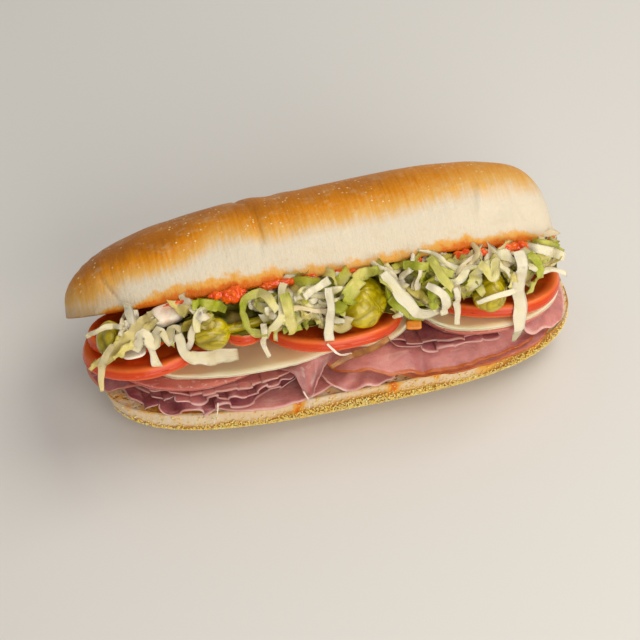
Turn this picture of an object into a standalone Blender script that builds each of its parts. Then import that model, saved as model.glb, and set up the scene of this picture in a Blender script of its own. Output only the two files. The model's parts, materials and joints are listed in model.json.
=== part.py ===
"""A submarine sandwich: an opened roll with ham, salami, cheese, tomato, lettuce, peppers and onion.

Metres, +Z up. +X runs along the roll, -Y is its open side, and the origin is the middle of the
footprint. The filling is piled up one slice at a time: a plan grid holds the height of the pile, and
every slice takes its shape from what it is laid on.
"""

import math
from dataclasses import dataclass

import bmesh
import bpy
import numpy as np
from mathutils import Euler, Matrix, Vector
from mathutils.bvhtree import BVHTree

MM = 0.001
TINY = 1e-6
SHARP_ANGLE = math.radians(50)

# The roll, split lengthwise: the heel lies flat and the crown stands open on its back edge.
HEEL_HALF_LENGTH = 100 * MM
HEEL_HALF_WIDTH = 35.5 * MM
HEEL_HEIGHT = 20 * MM
HEEL_ROUND_BELOW = 21.2 * MM
HEEL_END_POWER = 3.0
HEEL_SIDE_POWER = 3.6
CROWN_HALF_LENGTH = 101.5 * MM
CROWN_HALF_WIDTH = 35 * MM
CROWN_HEIGHT = 35.5 * MM
CROWN_HEIGHT_GAIN = 1.5 * MM
CROWN_END_POWERS = (2.7, 3.6)
CROWN_SIDE_POWER = 2.3
CROWN_SHIFT = -8 * MM
CROWN_OPENING = math.radians(46)
HINGE_Y = 34 * MM
ROLL_RINGS = 26
ROLL_SEGMENTS = 32

# The room between one piece and the next, and the thickness of what is sliced.
GAP = 0.35 * MM
HAM_THICKNESS = 1.2 * MM
SALAMI_THICKNESS = 1.5 * MM
CHEESE_THICKNESS = 2.3 * MM
TOMATO_THICKNESS = 5.6 * MM
ONION_THICKNESS = 2.5 * MM

# The pile: the step and half size of its plan grid, how fast it falls off beyond the heel's edge,
# its usual slope from front to back, and the height at the front above which ham lies flat.
GRID_STEP = 1 * MM
GRID_REACH = (126 * MM, 60 * MM)
OVERHANG_SLOPE = 1.1
LEAN = -0.25
HAM_LEVEL = 35 * MM
BLUR_STEPS = 2
SHEET_REACH = 3 * MM
TOPPING_REACH = 2 * MM

# Sheets: the size of their cells, and how a doubled slice's fold rises and falls away.
SHEET_CELL = (6.4 * MM, 7.2 * MM)
FEWEST_CELLS = 4
ARCH_RISE = 11 * MM
ARCH_FALL = 45 * MM
ARCH_ENDS = 2.5

# Ruffles: where they begin and over what run they grow, in half widths of their slice, and how
# their waves are drawn out unevenly.
RUFFLE_START = 0.45
RUFFLE_RUN = 1.25
UNEVEN_SIZE = 0.7
UNEVEN_PITCH = 0.57
UNEVEN_PHASE = 1.3

# Discs: sides, the share of the radius that is flat, and the clearance round one in plan.
DISC_STEPS = 22
DISC_FLAT = 0.93
DISC_MARGIN = 1.12

# Peppers, and the room that the lettuce leaves round what lies in it.
POD_SEGMENTS = 12
POD_RINGS = 10
POD_SHARE = 0.66
POD_FULLNESS = 2.4
POD_CREASE = 0.09
POD_TWIST = 2.0
STEM_RADIUS = 1.9 * MM
CUT_ROOM = 0.5 * MM

# The heap of shredded lettuce. Tufts are the size and pitch of the waves in its front edge.
HEAP_X = -4 * MM
HEAP_HALF_LENGTH = 98 * MM
HEAP_FRONT = -29 * MM
HEAP_END_POWER = 0.45
HEAP_CREST_POWER = 5
HEAP_FRONT_BASE = 52 * MM
HEAP_FRONT_SLOPE = 1.25
HEAP_TUFTS = ((1.6 * MM, 5.3 * MM), (1.1 * MM, 2.9 * MM))
HEAP_BUMP = 1.2 * MM
HEAP_BUMP_PITCH = (4.1 * MM, 3.2 * MM)
HEAP_ROOF_GAP = 0.8 * MM
HEAP_LEAST = 1.6 * MM
HEAP_REACH = 5 * MM
HEAP_CREST = 63 * MM
HEAP_CELLS = (38, 7)
HEAP_END_SHARE = 0.995

# Colours and finishes: red, green, blue and roughness.
FINISHES = {
    "crust": (0.70, 0.42, 0.14, 0.62),
    "crust_pale": (0.72, 0.55, 0.32, 0.70),
    "ham": (0.62, 0.24, 0.22, 0.38),
    "salami": (0.50, 0.13, 0.11, 0.40),
    "cheese": (0.84, 0.68, 0.42, 0.42),
    "tomato": (0.70, 0.12, 0.03, 0.28),
    "lettuce": (0.68, 0.70, 0.34, 0.45),
    "pepper": (0.48, 0.50, 0.03, 0.22),
    "onion": (0.80, 0.72, 0.60, 0.35),
}


@dataclass(frozen=True)
class Slice:
    """The plan of one slice, in millimetres: its middle, its half sizes and what is special to it.

    folds is the height of its ruffles, with their wave length and phase in radians. arch is the
    height of a doubled slice's fold. rounding is 0.5 for an oval and less for a squarer outline.
    slopes are those of a stiff slice, along X and Y.
    """

    name: str
    x: float
    y: float
    half_x: float
    half_y: float
    folds: float = 0.0
    wave: float = 26.0
    phase: float = 0.0
    arch: float = 0.0
    rounding: float = 0.5
    slopes: tuple = (0.0, 0.0)

    def plan(self):
        """Its middle and half sizes, in metres."""
        return self.x * MM, self.y * MM, self.half_x * MM, self.half_y * MM


@dataclass(frozen=True)
class Pepper:
    """A pickled pepper, in millimetres, with turns about X, Y and Z in degrees."""

    name: str
    x: float
    y: float
    turns: tuple
    length: float
    radius: float
    lobes: int
    stem: float = 0.0
    finish: str = "pepper"


@dataclass(frozen=True)
class Chunk:
    """A rounded chunk, in millimetres, with turns about X, Y and Z in degrees."""

    name: str
    x: float
    y: float
    turns: tuple
    size: tuple
    squareness: float = 4.0
    finish: str = "onion"


# What lies in the roll, in the order it is laid.
HAM = (
    Slice("ham_bottom_left", -44, -8.5, 49, 28.8, rounding=0.3),
    Slice("ham_shaved_left_low", -50, -8, 38, 26.5, folds=5, wave=25),
    Slice("ham_curl", 6, -17, 14, 20, folds=8, wave=22, phase=1.2),
    Slice("ham_shaved_left_mid", -46, -9, 38, 25.5, folds=5, wave=21, phase=2.0),
    Slice("ham_left_end", -80, -4, 22, 23.5, folds=3, wave=40, phase=0.5),
    Slice("ham_shaved_left_top", -49, -8, 36, 25.5, folds=5, wave=29, phase=4.2),
    Slice("ham_bottom_right", 50, -8.5, 46, 28.5, rounding=0.36),
    Slice("ham_long_right", 35, -8, 51, 29.5, arch=6, rounding=0.4),
    Slice("ham_flap", -23, -10, 13, 27.5),
    Slice("ham_folded_right", 46, -8, 38, 24.5, folds=6, wave=29, phase=1.4),
    Slice("ham_right_end", 76, -6, 22, 24),
)
SALAMI = (
    Slice("salami_left", -63, -8, 34, 26.5),
    Slice("salami_right", 61, -8, 31, 26.5),
)
CHEESE = (
    Slice("cheese_centre", 12, -9, 21, 24),
    Slice("cheese_left", -33, -8, 51, 26.5, rounding=0.42),
    Slice("cheese_right", 59, -8, 31, 26.5),
)
TOMATO = (
    Slice("tomato_left", -79, -11, 27, 24, slopes=(0.06, -0.28)),
    Slice("tomato_centre", -2.5, -12, 29.5, 23.5, slopes=(0.0, -0.28)),
    Slice("tomato_right", 64, -12, 28, 23, slopes=(-0.03, -0.3)),
    Slice("tomato_left_end", -85, -12, 20, 15, slopes=(0.05, -0.28)),
    Slice("tomato_left_inner", -42, -16, 10.5, 13, slopes=(0.0, -0.28)),
)
ONION_DISC = Slice("onion_disc", -87, -25, 5, 5.5, slopes=(0.06, -0.28))
TOPPINGS = (
    Pepper("pepper_left_end", -95, -20, (0, 0, 80), length=16, radius=5.4, lobes=3),
    Pepper("pepper_left", -56, -24, (0, -6, 0), length=15, radius=6.4, lobes=3, stem=18),
    Pepper("pepper_centre", 7, -22, (20, 0, 60), length=21, radius=8.4, lobes=4),
    Pepper("pepper_right", 58, -25, (0, 0, 75), length=18, radius=7, lobes=3),
    Chunk("onion_chunk", -74, -16, (20, 0, 10), size=(13, 8, 6.5)),
)


def clear_scene():
    """Take away everything that the file starts with."""
    for obj in list(bpy.data.objects):
        bpy.data.objects.remove(obj)


def material(name):
    """The plain Principled material of one finish."""
    if name in bpy.data.materials:
        return bpy.data.materials[name]
    red, green, blue, roughness = FINISHES[name]
    made = bpy.data.materials.new(name)
    made.use_nodes = True
    shader = made.node_tree.nodes["Principled BSDF"]
    shader.inputs["Base Color"].default_value = (red, green, blue, 1)
    shader.inputs["Roughness"].default_value = roughness
    shader.inputs["Metallic"].default_value = 0
    return made


class Sandwich:
    """The collection of finished pieces, that of cutters, and the empty that holds them all."""

    def __init__(self):
        self.pieces = self.add_collection("submarine_sandwich")
        self.cutters = self.add_collection("cutters")
        self.holder = bpy.data.objects.new("sandwich", None)
        self.pieces.objects.link(self.holder)

    def add_collection(self, name):
        """A new collection in the scene."""
        made = bpy.data.collections.new(name)
        bpy.context.scene.collection.children.link(made)
        return made

    def add(self, name, bm, finish):
        """Turn a bmesh into a piece."""
        mesh = bpy.data.meshes.new(name)
        bm.normal_update()
        bm.to_mesh(mesh)
        bm.free()
        mesh.shade_smooth()
        mesh.set_sharp_from_angle(angle=SHARP_ANGLE)
        mesh.materials.append(material(finish))
        obj = bpy.data.objects.new(name, mesh)
        obj.parent = self.holder
        self.pieces.objects.link(obj)
        return obj

    def add_cutter(self, name, bm):
        """Turn a bmesh into a cutter, which isn't a piece itself."""
        mesh = bpy.data.meshes.new("cutter_" + name)
        bm.to_mesh(mesh)
        bm.free()
        cutter = bpy.data.objects.new(mesh.name, mesh)
        cutter.parent = self.holder
        cutter.hide_render = True
        cutter.display_type = "WIRE"
        self.cutters.objects.link(cutter)
        return cutter

    def centre(self):
        """Move everything so that the middle of the footprint is the origin."""
        bpy.context.view_layer.update()
        graph = bpy.context.evaluated_depsgraph_get()
        corners = []
        for obj in self.pieces.objects:
            if obj.type == "MESH":
                shape = obj.evaluated_get(graph).data
                corners += [obj.matrix_world @ vert.co for vert in shape.vertices]
        for axis in (0, 1):
            sides = [corner[axis] for corner in corners]
            self.holder.location[axis] = -(min(sides) + max(sides)) / 2


def signed_power(value, power):
    """value ** power that keeps the sign of value."""
    return math.copysign(abs(value) ** power, value)


def smooth_step(value):
    """0 below 0, 1 above 1 and a smooth rise between them, for arrays."""
    t = np.clip(value, 0, 1)
    return t * t * (3 - 2 * t)


# ---------------------------------------------------------------- the roll


def turn_to_x(bm):
    """Turn a sphere so that its poles lie on X."""
    bmesh.ops.rotate(bm, verts=bm.verts, matrix=Matrix.Rotation(math.pi / 2, 3, "Y"))


def loaf(half_length, half_width, height_above, height_below, end_powers, side_power, gain=0.0):
    """A rounded loaf: a unit sphere with its poles on X, drawn out to super-elliptic sections.

    end_powers are those of the -X and the +X end, and gain raises the height from -X to +X.
    """
    bm = bmesh.new()
    bmesh.ops.create_uvsphere(bm, u_segments=ROLL_SEGMENTS, v_segments=ROLL_RINGS, radius=1)
    turn_to_x(bm)
    for vert in bm.verts:
        along, across, up = vert.co
        ring = math.hypot(across, up)
        end_power = end_powers[0] if along < 0 else end_powers[1]
        station = signed_power(along, 2 / end_power)
        spread = ring ** (2 / end_power)
        cosine, sine = (across / ring, up / ring) if ring > TINY else (0, 0)
        height = (height_above if up > 0 else height_below) + gain * station
        vert.co = (
            half_length * station,
            half_width * spread * signed_power(cosine, 2 / side_power),
            height * spread * signed_power(sine, 2 / side_power),
        )
    return bm


def slice_off(bm, height, keep_above):
    """Cut the bmesh level at this height, keep one side and close the cut."""
    bmesh.ops.bisect_plane(
        bm,
        geom=bm.verts[:] + bm.edges[:] + bm.faces[:],
        dist=TINY,
        plane_co=(0, 0, height),
        plane_no=(0, 0, -1 if keep_above else 1),
        clear_outer=True,
    )
    rim = [edge for edge in bm.edges if edge.is_boundary]
    bmesh.ops.edgeloop_fill(bm, edges=rim)


def build_heel(sandwich):
    """The lower half of the roll, with a flat foot and a level cut face."""
    bm = loaf(
        HEEL_HALF_LENGTH,
        HEEL_HALF_WIDTH,
        HEEL_HEIGHT,
        HEEL_ROUND_BELOW,
        (HEEL_END_POWER, HEEL_END_POWER),
        HEEL_SIDE_POWER,
    )
    slice_off(bm, 0, keep_above=False)
    slice_off(bm, -HEEL_HEIGHT, keep_above=True)
    bmesh.ops.translate(bm, verts=bm.verts, vec=(0, 0, HEEL_HEIGHT))
    return sandwich.add("roll_bottom", bm, "crust_pale")


def build_crown(sandwich):
    """The domed upper half of the roll, tipped back about its rear cut edge."""
    bm = loaf(
        CROWN_HALF_LENGTH,
        CROWN_HALF_WIDTH,
        CROWN_HEIGHT,
        CROWN_HEIGHT,
        CROWN_END_POWERS,
        CROWN_SIDE_POWER,
        CROWN_HEIGHT_GAIN,
    )
    slice_off(bm, 0, keep_above=True)
    bmesh.ops.translate(bm, verts=bm.verts, vec=(0, -CROWN_HALF_WIDTH, 0))
    crown = sandwich.add("roll_top", bm, "crust")
    crown.location = (CROWN_SHIFT, HINGE_Y, HEEL_HEIGHT + GAP)
    crown.rotation_euler = (-CROWN_OPENING, 0, 0)
    return crown


def crown_plane(y):
    """Height of the crown's cut face above a plan position."""
    return HEEL_HEIGHT + GAP + (HINGE_Y - y) * math.tan(CROWN_OPENING)


# ---------------------------------------------------------------- the pile


class Pile:
    """The height of everything laid on the heel so far, on a plan grid."""

    def __init__(self):
        counts = [round(reach / GRID_STEP) for reach in GRID_REACH]
        self.x = np.arange(-counts[0], counts[0] + 1) * GRID_STEP
        self.y = np.arange(-counts[1], counts[1] + 1) * GRID_STEP
        self.plan = np.meshgrid(self.x, self.y, indexing="ij")
        x, y = self.plan
        edge = (
            np.abs(x / HEEL_HALF_LENGTH) ** HEEL_END_POWER
            + np.abs(y / HEEL_HALF_WIDTH) ** HEEL_END_POWER
        ) ** (1 / HEEL_END_POWER)
        beyond = np.maximum(edge - 1, 0) * HEEL_HALF_WIDTH
        self.top = HEEL_HEIGHT - OVERHANG_SLOPE * beyond

    def cover(self, reach):
        """A smooth surface that lies on the pile and never dips below it.

        A sheet whose corners lie on it, up to reach apart, stays clear of the pile between them too:
        it is the greatest height within reach and the width that the two means then blur by. The
        pile's lean is taken off first, so a steady slope isn't lifted.
        """
        lean = LEAN * self.plan[1]
        field = self.top - lean
        widest = math.ceil(reach / GRID_STEP) + 2 * BLUR_STEPS
        for window, pick in ((widest, np.max), (BLUR_STEPS, np.mean), (BLUR_STEPS, np.mean)):
            for axis in (0, 1):
                field = pick([np.roll(field, k, axis) for k in range(-window, window + 1)], axis=0)
        return field + lean

    def sample(self, field, x, y):
        """Bilinear value of a field at plan positions x and y."""
        u = (np.asarray(x) - self.x[0]) / GRID_STEP
        v = (np.asarray(y) - self.y[0]) / GRID_STEP
        i = np.clip(np.floor(u).astype(int), 0, len(self.x) - 2)
        j = np.clip(np.floor(v).astype(int), 0, len(self.y) - 2)
        s, t = u - i, v - j
        low = field[i, j] * (1 - s) + field[i + 1, j] * s
        high = field[i, j + 1] * (1 - s) + field[i + 1, j + 1] * s
        return low * (1 - t) + high * t

    def receive(self, obj):
        """Raise the pile to the top of a finished piece, felt for from above."""
        bpy.context.view_layer.update()
        graph = bpy.context.evaluated_depsgraph_get()
        mesh = obj.evaluated_get(graph).to_mesh()
        corners = [obj.matrix_world @ vert.co for vert in mesh.vertices]
        tree = BVHTree.FromPolygons(corners, [tuple(face.vertices) for face in mesh.polygons])
        low = [min(corner[axis] for corner in corners) for axis in (0, 1)]
        high = [max(corner[axis] for corner in corners) for axis in range(3)]
        down = Vector((0, 0, -1))
        for i in np.nonzero((self.x > low[0]) & (self.x < high[0]))[0]:
            for j in np.nonzero((self.y > low[1]) & (self.y < high[1]))[0]:
                start = Vector((self.x[i], self.y[j], high[2] + GAP))
                hit = tree.ray_cast(start, down)[0]
                if hit is not None and hit.z > self.top[i, j]:
                    self.top[i, j] = hit.z


def ruffle(piece, x, y):
    """Height of a shaved slice's folds: waves along X that grow from its back to its front edge."""
    middle_x, middle_y, _, half_y = piece.plan()
    front = smooth_step((middle_y + RUFFLE_START * half_y - y) / (RUFFLE_RUN * half_y))
    turns = 2 * math.pi * (x - middle_x) / (piece.wave * MM) + piece.phase
    wave = 0.5 + 0.5 * np.sin(turns + UNEVEN_SIZE * np.sin(UNEVEN_PITCH * turns + UNEVEN_PHASE))
    return piece.folds * MM * front * wave


def arch(piece, x, y):
    """Height of a doubled slice's rounded fold, which stands just behind its front edge."""
    middle_x, middle_y, half_x, half_y = piece.plan()
    share = np.clip(1 - ((x - middle_x) / half_x) ** 2, 0, 1)
    front_edge = middle_y - half_y * np.sqrt(share)
    rise = smooth_step((y - front_edge) / ARCH_RISE)
    fall = smooth_step((middle_y + half_y - y) / ARCH_FALL)
    return piece.arch * MM * rise * fall * smooth_step(ARCH_ENDS * share)


def lay_sheet(sandwich, pile, piece, finish, thickness):
    """Drape a thin slice over the pile, with folds of its own if it has any.

    The folds flatten where the pile is already high. The sheet is a grid of quads squeezed into an
    oval, so it has no pole.
    """
    cover = pile.cover(SHEET_REACH) + GAP
    level = HAM_LEVEL + LEAN * (pile.plan[1] + HEEL_HALF_WIDTH)
    folds = ruffle(piece, *pile.plan) + arch(piece, *pile.plan)
    bottom = cover + np.clip(level - thickness - cover, 0, folds)
    middle_x, middle_y, half_x, half_y = piece.plan()
    cells = [max(FEWEST_CELLS, round(2 * half / cell)) for half, cell in zip((half_x, half_y), SHEET_CELL)]
    bm = bmesh.new()
    bmesh.ops.create_grid(bm, x_segments=cells[0], y_segments=cells[1], size=1)
    for vert in bm.verts:
        u, v = vert.co.x, vert.co.y
        x = middle_x + half_x * u * math.sqrt(1 - piece.rounding * v * v)
        y = middle_y + half_y * v * math.sqrt(1 - piece.rounding * u * u)
        vert.co = (x, y, float(pile.sample(bottom, x, y)))
    obj = sandwich.add(piece.name, bm, finish)
    solidify = obj.modifiers.new("thickness", "SOLIDIFY")
    solidify.thickness = thickness
    solidify.offset = 1
    pile.receive(obj)


def lay_disc(sandwich, pile, piece, finish, thickness):
    """Lay a stiff round slice with a bulging edge, tipped by its slopes, just clear of the pile."""
    middle_x, middle_y, half_x, half_y = piece.plan()
    half = thickness / 2
    bm = bmesh.new()
    profile = ((0, half), (DISC_FLAT, half), (1, 0), (DISC_FLAT, -half), (0, -half))
    verts = [bm.verts.new((share, 0, height)) for share, height in profile]
    for first, second in zip(verts, verts[1:]):
        bm.edges.new((first, second))
    bmesh.ops.spin(
        bm,
        geom=bm.verts[:] + bm.edges[:],
        axis=(0, 0, 1),
        cent=(0, 0, 0),
        steps=DISC_STEPS,
        angle=2 * math.pi,
        use_merge=True,
    )
    bmesh.ops.remove_doubles(bm, verts=bm.verts, dist=TINY)
    bmesh.ops.recalc_face_normals(bm, faces=bm.faces)
    bmesh.ops.scale(bm, vec=(half_x, half_y, 1), verts=bm.verts)
    obj = sandwich.add(piece.name, bm, finish)
    slope_x, slope_y = piece.slopes
    normal = Vector((-slope_x, -slope_y, 1)).normalized()
    x, y = pile.plan
    plane = slope_x * (x - middle_x) + slope_y * (y - middle_y)
    share = ((x - middle_x) / half_x) ** 2 + ((y - middle_y) / half_y) ** 2
    lift = float(np.max((pile.top - plane)[share < DISC_MARGIN])) + GAP
    obj.rotation_mode = "QUATERNION"
    obj.rotation_quaternion = Vector((0, 0, 1)).rotation_difference(normal)
    obj.location = Vector((middle_x, middle_y, lift)) + normal * half
    pile.receive(obj)


# ---------------------------------------------------------------- toppings


def pod(pepper, grow):
    """A lobed, creased pod along X that is drawn out into its stem at +X, made larger by grow.

    A unit sphere with its poles on X gives the rings. The first share of its run is the pod and the
    rest the stem.
    """
    bm = bmesh.new()
    bmesh.ops.create_uvsphere(bm, u_segments=POD_SEGMENTS, v_segments=POD_RINGS, radius=1)
    turn_to_x(bm)
    half = pepper.length * MM / 2 + grow
    pod_share = POD_SHARE if pepper.stem else 1.0
    for vert in bm.verts:
        along, across, up = vert.co
        run = 0.5 + math.asin(max(-1, min(1, along))) / math.pi
        turn = math.atan2(up, across)
        t = run / pod_share
        if t <= 1:
            full = max(0, 1 - abs(2 * t - 1) ** POD_FULLNESS) ** 0.5
            lobes = 1 + POD_CREASE * math.cos(pepper.lobes * turn + POD_TWIST * t)
            size = (pepper.radius * MM * lobes + grow) * full
            if pepper.stem and t > 0.5:
                size = max(size, STEM_RADIUS + grow)
            place = half * (2 * t - 1)
        else:
            size = STEM_RADIUS + grow
            place = half + pepper.stem * MM * (run - pod_share) / (1 - pod_share)
        if math.hypot(across, up) < TINY:
            size = 0
        vert.co = (place, size * math.cos(turn), size * math.sin(turn))
    return bm


def lump(chunk, grow):
    """A coarse sphere pushed out towards a block, made larger by grow."""
    bm = bmesh.new()
    bmesh.ops.create_icosphere(bm, subdivisions=2, radius=1)
    for vert in bm.verts:
        reach = sum(abs(part) ** chunk.squareness for part in vert.co) ** (1 / chunk.squareness)
        vert.co = [(side * MM / 2 + grow) * part / reach for side, part in zip(chunk.size, vert.co)]
    return bm


def settle(sandwich, pile, topping):
    """Lower a turned topping until its lowest parts are just clear of the pile.

    A slightly larger copy stays behind as a cutter for the lettuce.
    """
    shape = pod if isinstance(topping, Pepper) else lump
    angles = [math.radians(turn) for turn in topping.turns]
    turned = Euler(angles).to_matrix()
    cover = pile.cover(TOPPING_REACH)
    x, y = topping.x * MM, topping.y * MM
    bm = shape(topping, 0)
    lifts = []
    for vert in bm.verts:
        corner = turned @ vert.co
        lifts.append(float(pile.sample(cover, x + corner.x, y + corner.y)) + GAP - corner.z)
    made = sandwich.add(topping.name, bm, topping.finish)
    cutter = sandwich.add_cutter(topping.name, shape(topping, CUT_ROOM))
    for obj in (made, cutter):
        obj.location = (x, y, max(lifts))
        obj.rotation_euler = angles


# ---------------------------------------------------------------- the lettuce


def heap_edges(pile, under, x):
    """Where the lettuce begins and ends at a place along the roll: its front and its back y.

    It goes back as far as there is room for it below the crown.
    """
    share = max(0, 1 - ((x - HEAP_X) / HEAP_HALF_LENGTH) ** 2) ** HEAP_END_POWER
    tufts = sum(size * math.sin(x / pitch) for size, pitch in HEAP_TUFTS)
    room = crown_plane(pile.y) - HEAP_ROOF_GAP - HEAP_LEAST - pile.sample(under, x, pile.y)
    back = float(pile.y[:-1][(room[:-1] > 0) & (room[1:] <= 0)].min()) - GRID_STEP
    front = HEAP_FRONT + tufts
    middle = (front + back) / 2
    return middle + (front - middle) * share, middle + (back - middle) * share


def build_heap(sandwich, pile):
    """The shredded lettuce as one solid, which fills the room between the pile and the crown.

    Its top keeps under the crown's cut face, and in front it slopes down to its uneven edge. What
    lies in it is cut out with room to spare.
    """
    bm = bmesh.new()
    bmesh.ops.create_grid(bm, x_segments=HEAP_CELLS[0], y_segments=HEAP_CELLS[1], size=1)
    under = pile.cover(HEAP_REACH) + GAP
    lower = []
    for vert in bm.verts:
        u, v = vert.co.x, vert.co.y
        x = HEAP_X + HEAP_END_SHARE * HEAP_HALF_LENGTH * u
        front, back = heap_edges(pile, under, x)
        y = front + (back - front) * (v + 1) / 2
        base = float(pile.sample(under, x, y))
        bump = HEAP_BUMP * math.sin(x / HEAP_BUMP_PITCH[0]) * math.cos(y / HEAP_BUMP_PITCH[1])
        slope = HEAP_FRONT_BASE + (y - HEAP_FRONT) * HEAP_FRONT_SLOPE + bump
        roof = min(crown_plane(y) - HEAP_ROOF_GAP, HEAP_CREST + bump)
        share = max(0, 1 - abs((x - HEAP_X) / HEAP_HALF_LENGTH) ** HEAP_CREST_POWER)
        lower.append((x, y, base))
        vert.co = (x, y, base + max(HEAP_LEAST, share * (min(slope, roof) - base)))
    upper = list(bm.verts)
    faces = [list(face.verts) for face in bm.faces]
    rim = [edge.verts[:] for edge in bm.edges if edge.is_boundary]
    pairs = {vert: bm.verts.new(place) for vert, place in zip(upper, lower)}
    for face in faces:
        bm.faces.new([pairs[vert] for vert in reversed(face)])
    for first, second in rim:
        bm.faces.new([first, second, pairs[second], pairs[first]])
    bmesh.ops.triangulate(bm, faces=bm.faces)
    bmesh.ops.recalc_face_normals(bm, faces=bm.faces)
    heap = sandwich.add("lettuce_heap", bm, "lettuce")
    for cutter in sandwich.cutters.objects:
        cut = heap.modifiers.new(cutter.name, "BOOLEAN")
        cut.operation = "DIFFERENCE"
        cut.solver = "EXACT"
        cut.object = cutter


def main():
    """Build the roll, pile up the slices and what lies on them, and fill in the lettuce."""
    clear_scene()
    sandwich = Sandwich()
    build_heel(sandwich)
    build_crown(sandwich)
    pile = Pile()
    layers = (
        (HAM, "ham", HAM_THICKNESS),
        (SALAMI, "salami", SALAMI_THICKNESS),
        (CHEESE, "cheese", CHEESE_THICKNESS),
    )
    for pieces, finish, thickness in layers:
        for piece in pieces:
            lay_sheet(sandwich, pile, piece, finish, thickness)
    for piece in TOMATO:
        lay_disc(sandwich, pile, piece, "tomato", TOMATO_THICKNESS)
    lay_disc(sandwich, pile, ONION_DISC, "onion", ONION_THICKNESS)
    for topping in TOPPINGS:
        settle(sandwich, pile, topping)
    build_heap(sandwich, pile)
    sandwich.centre()


main()
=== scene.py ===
"""Looks of a submarine sandwich: crust, crumb, cold cuts, cheese, tomato, peppers and shredded lettuce.

Shapes are worked out in millimetres, in a frame whose origin is the middle of the heel on the table,
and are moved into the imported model's frame as they are made into meshes.
"""

import json
import logging
import math
from dataclasses import dataclass, field, replace
from enum import Enum
from typing import Any, Callable, Dict, List, Optional, Sequence, Tuple, Union

import bpy
import numpy as np
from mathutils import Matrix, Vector

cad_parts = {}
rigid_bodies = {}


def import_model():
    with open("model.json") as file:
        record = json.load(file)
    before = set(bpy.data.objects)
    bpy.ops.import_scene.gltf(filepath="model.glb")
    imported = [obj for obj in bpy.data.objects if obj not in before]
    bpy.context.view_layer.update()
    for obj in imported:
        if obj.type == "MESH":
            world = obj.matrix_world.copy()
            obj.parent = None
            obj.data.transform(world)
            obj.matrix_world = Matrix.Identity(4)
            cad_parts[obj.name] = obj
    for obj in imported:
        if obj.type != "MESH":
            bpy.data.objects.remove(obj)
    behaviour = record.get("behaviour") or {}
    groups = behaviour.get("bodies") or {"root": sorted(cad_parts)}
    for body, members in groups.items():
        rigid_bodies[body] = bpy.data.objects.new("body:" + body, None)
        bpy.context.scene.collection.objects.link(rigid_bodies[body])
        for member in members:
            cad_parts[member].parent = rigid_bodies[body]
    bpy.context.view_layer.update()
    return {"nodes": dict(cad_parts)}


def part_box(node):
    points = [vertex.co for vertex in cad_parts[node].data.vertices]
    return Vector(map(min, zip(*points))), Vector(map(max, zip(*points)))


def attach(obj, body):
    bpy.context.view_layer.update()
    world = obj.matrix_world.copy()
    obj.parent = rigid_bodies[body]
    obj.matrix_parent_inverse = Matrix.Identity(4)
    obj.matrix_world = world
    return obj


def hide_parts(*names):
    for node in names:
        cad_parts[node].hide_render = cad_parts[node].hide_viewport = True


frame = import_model()

LOG = logging.getLogger("sandwich")
MM = 0.001
Array = np.ndarray
Colour = Tuple[float, float, float]
Number = Union[float, "Value"]


# ---------------------------------------------------------------- helpers for numbers


def srgb(red: float, green: float, blue: float) -> Colour:
    """The linear colour of display values from 0 to 255."""
    shares = [part / 255 for part in (red, green, blue)]
    return tuple(s / 12.92 if s <= 0.04045 else ((s + 0.055) / 1.055) ** 2.4 for s in shares)


def smooth_step(value: Array) -> Array:
    """0 below 0, 1 above 1 and the cubic t*t*(3 - 2t) between them."""
    t = np.clip(value, 0, 1)
    return t * t * (3 - 2 * t)


def hump(value: Array) -> Array:
    """1 at 0, falling to 0 as a bell at -1 and 1."""
    return smooth_step(1 - np.abs(value))


def signed_power(value: Array, power: float) -> Array:
    """The power of the size of value, with the sign of value."""
    return np.sign(value) * np.abs(value) ** power


def ripples(points: Array, pitch: float, seed: int, count: int = 9) -> Array:
    """Smooth unevenness between about -1 and 1.

    It is a mean of cosine waves, all about one pitch long, which run in scattered directions.

    Args:
        points: places, with their coordinates in the last axis.
        pitch: the usual wave length, in the unit of the places.
        seed: picks the directions and phases.
        count: how many waves are mixed.

    Returns:
        One value for each place.
    """
    rng = np.random.default_rng(seed)
    ways = rng.normal(size=(count, points.shape[-1]))
    ways /= np.linalg.norm(ways, axis=1, keepdims=True)
    ways *= 2 * np.pi / pitch * rng.uniform(0.7, 1.4, size=(count, 1))
    phases = rng.uniform(0, 2 * np.pi, size=count)
    return np.cos(points @ ways.T + phases).sum(axis=-1) * (1.4 / count)


def turn_matrix(turns: Sequence[float]) -> Array:
    """The rotation by angles in degrees about X, then Y, then Z."""
    a, b, c = np.radians(turns)
    about_x = np.array([[1, 0, 0], [0, math.cos(a), -math.sin(a)], [0, math.sin(a), math.cos(a)]])
    about_y = np.array([[math.cos(b), 0, math.sin(b)], [0, 1, 0], [-math.sin(b), 0, math.cos(b)]])
    about_z = np.array([[math.cos(c), -math.sin(c), 0], [math.sin(c), math.cos(c), 0], [0, 0, 1]])
    return about_z @ about_y @ about_x


# ---------------------------------------------------------------- shapes


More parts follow.
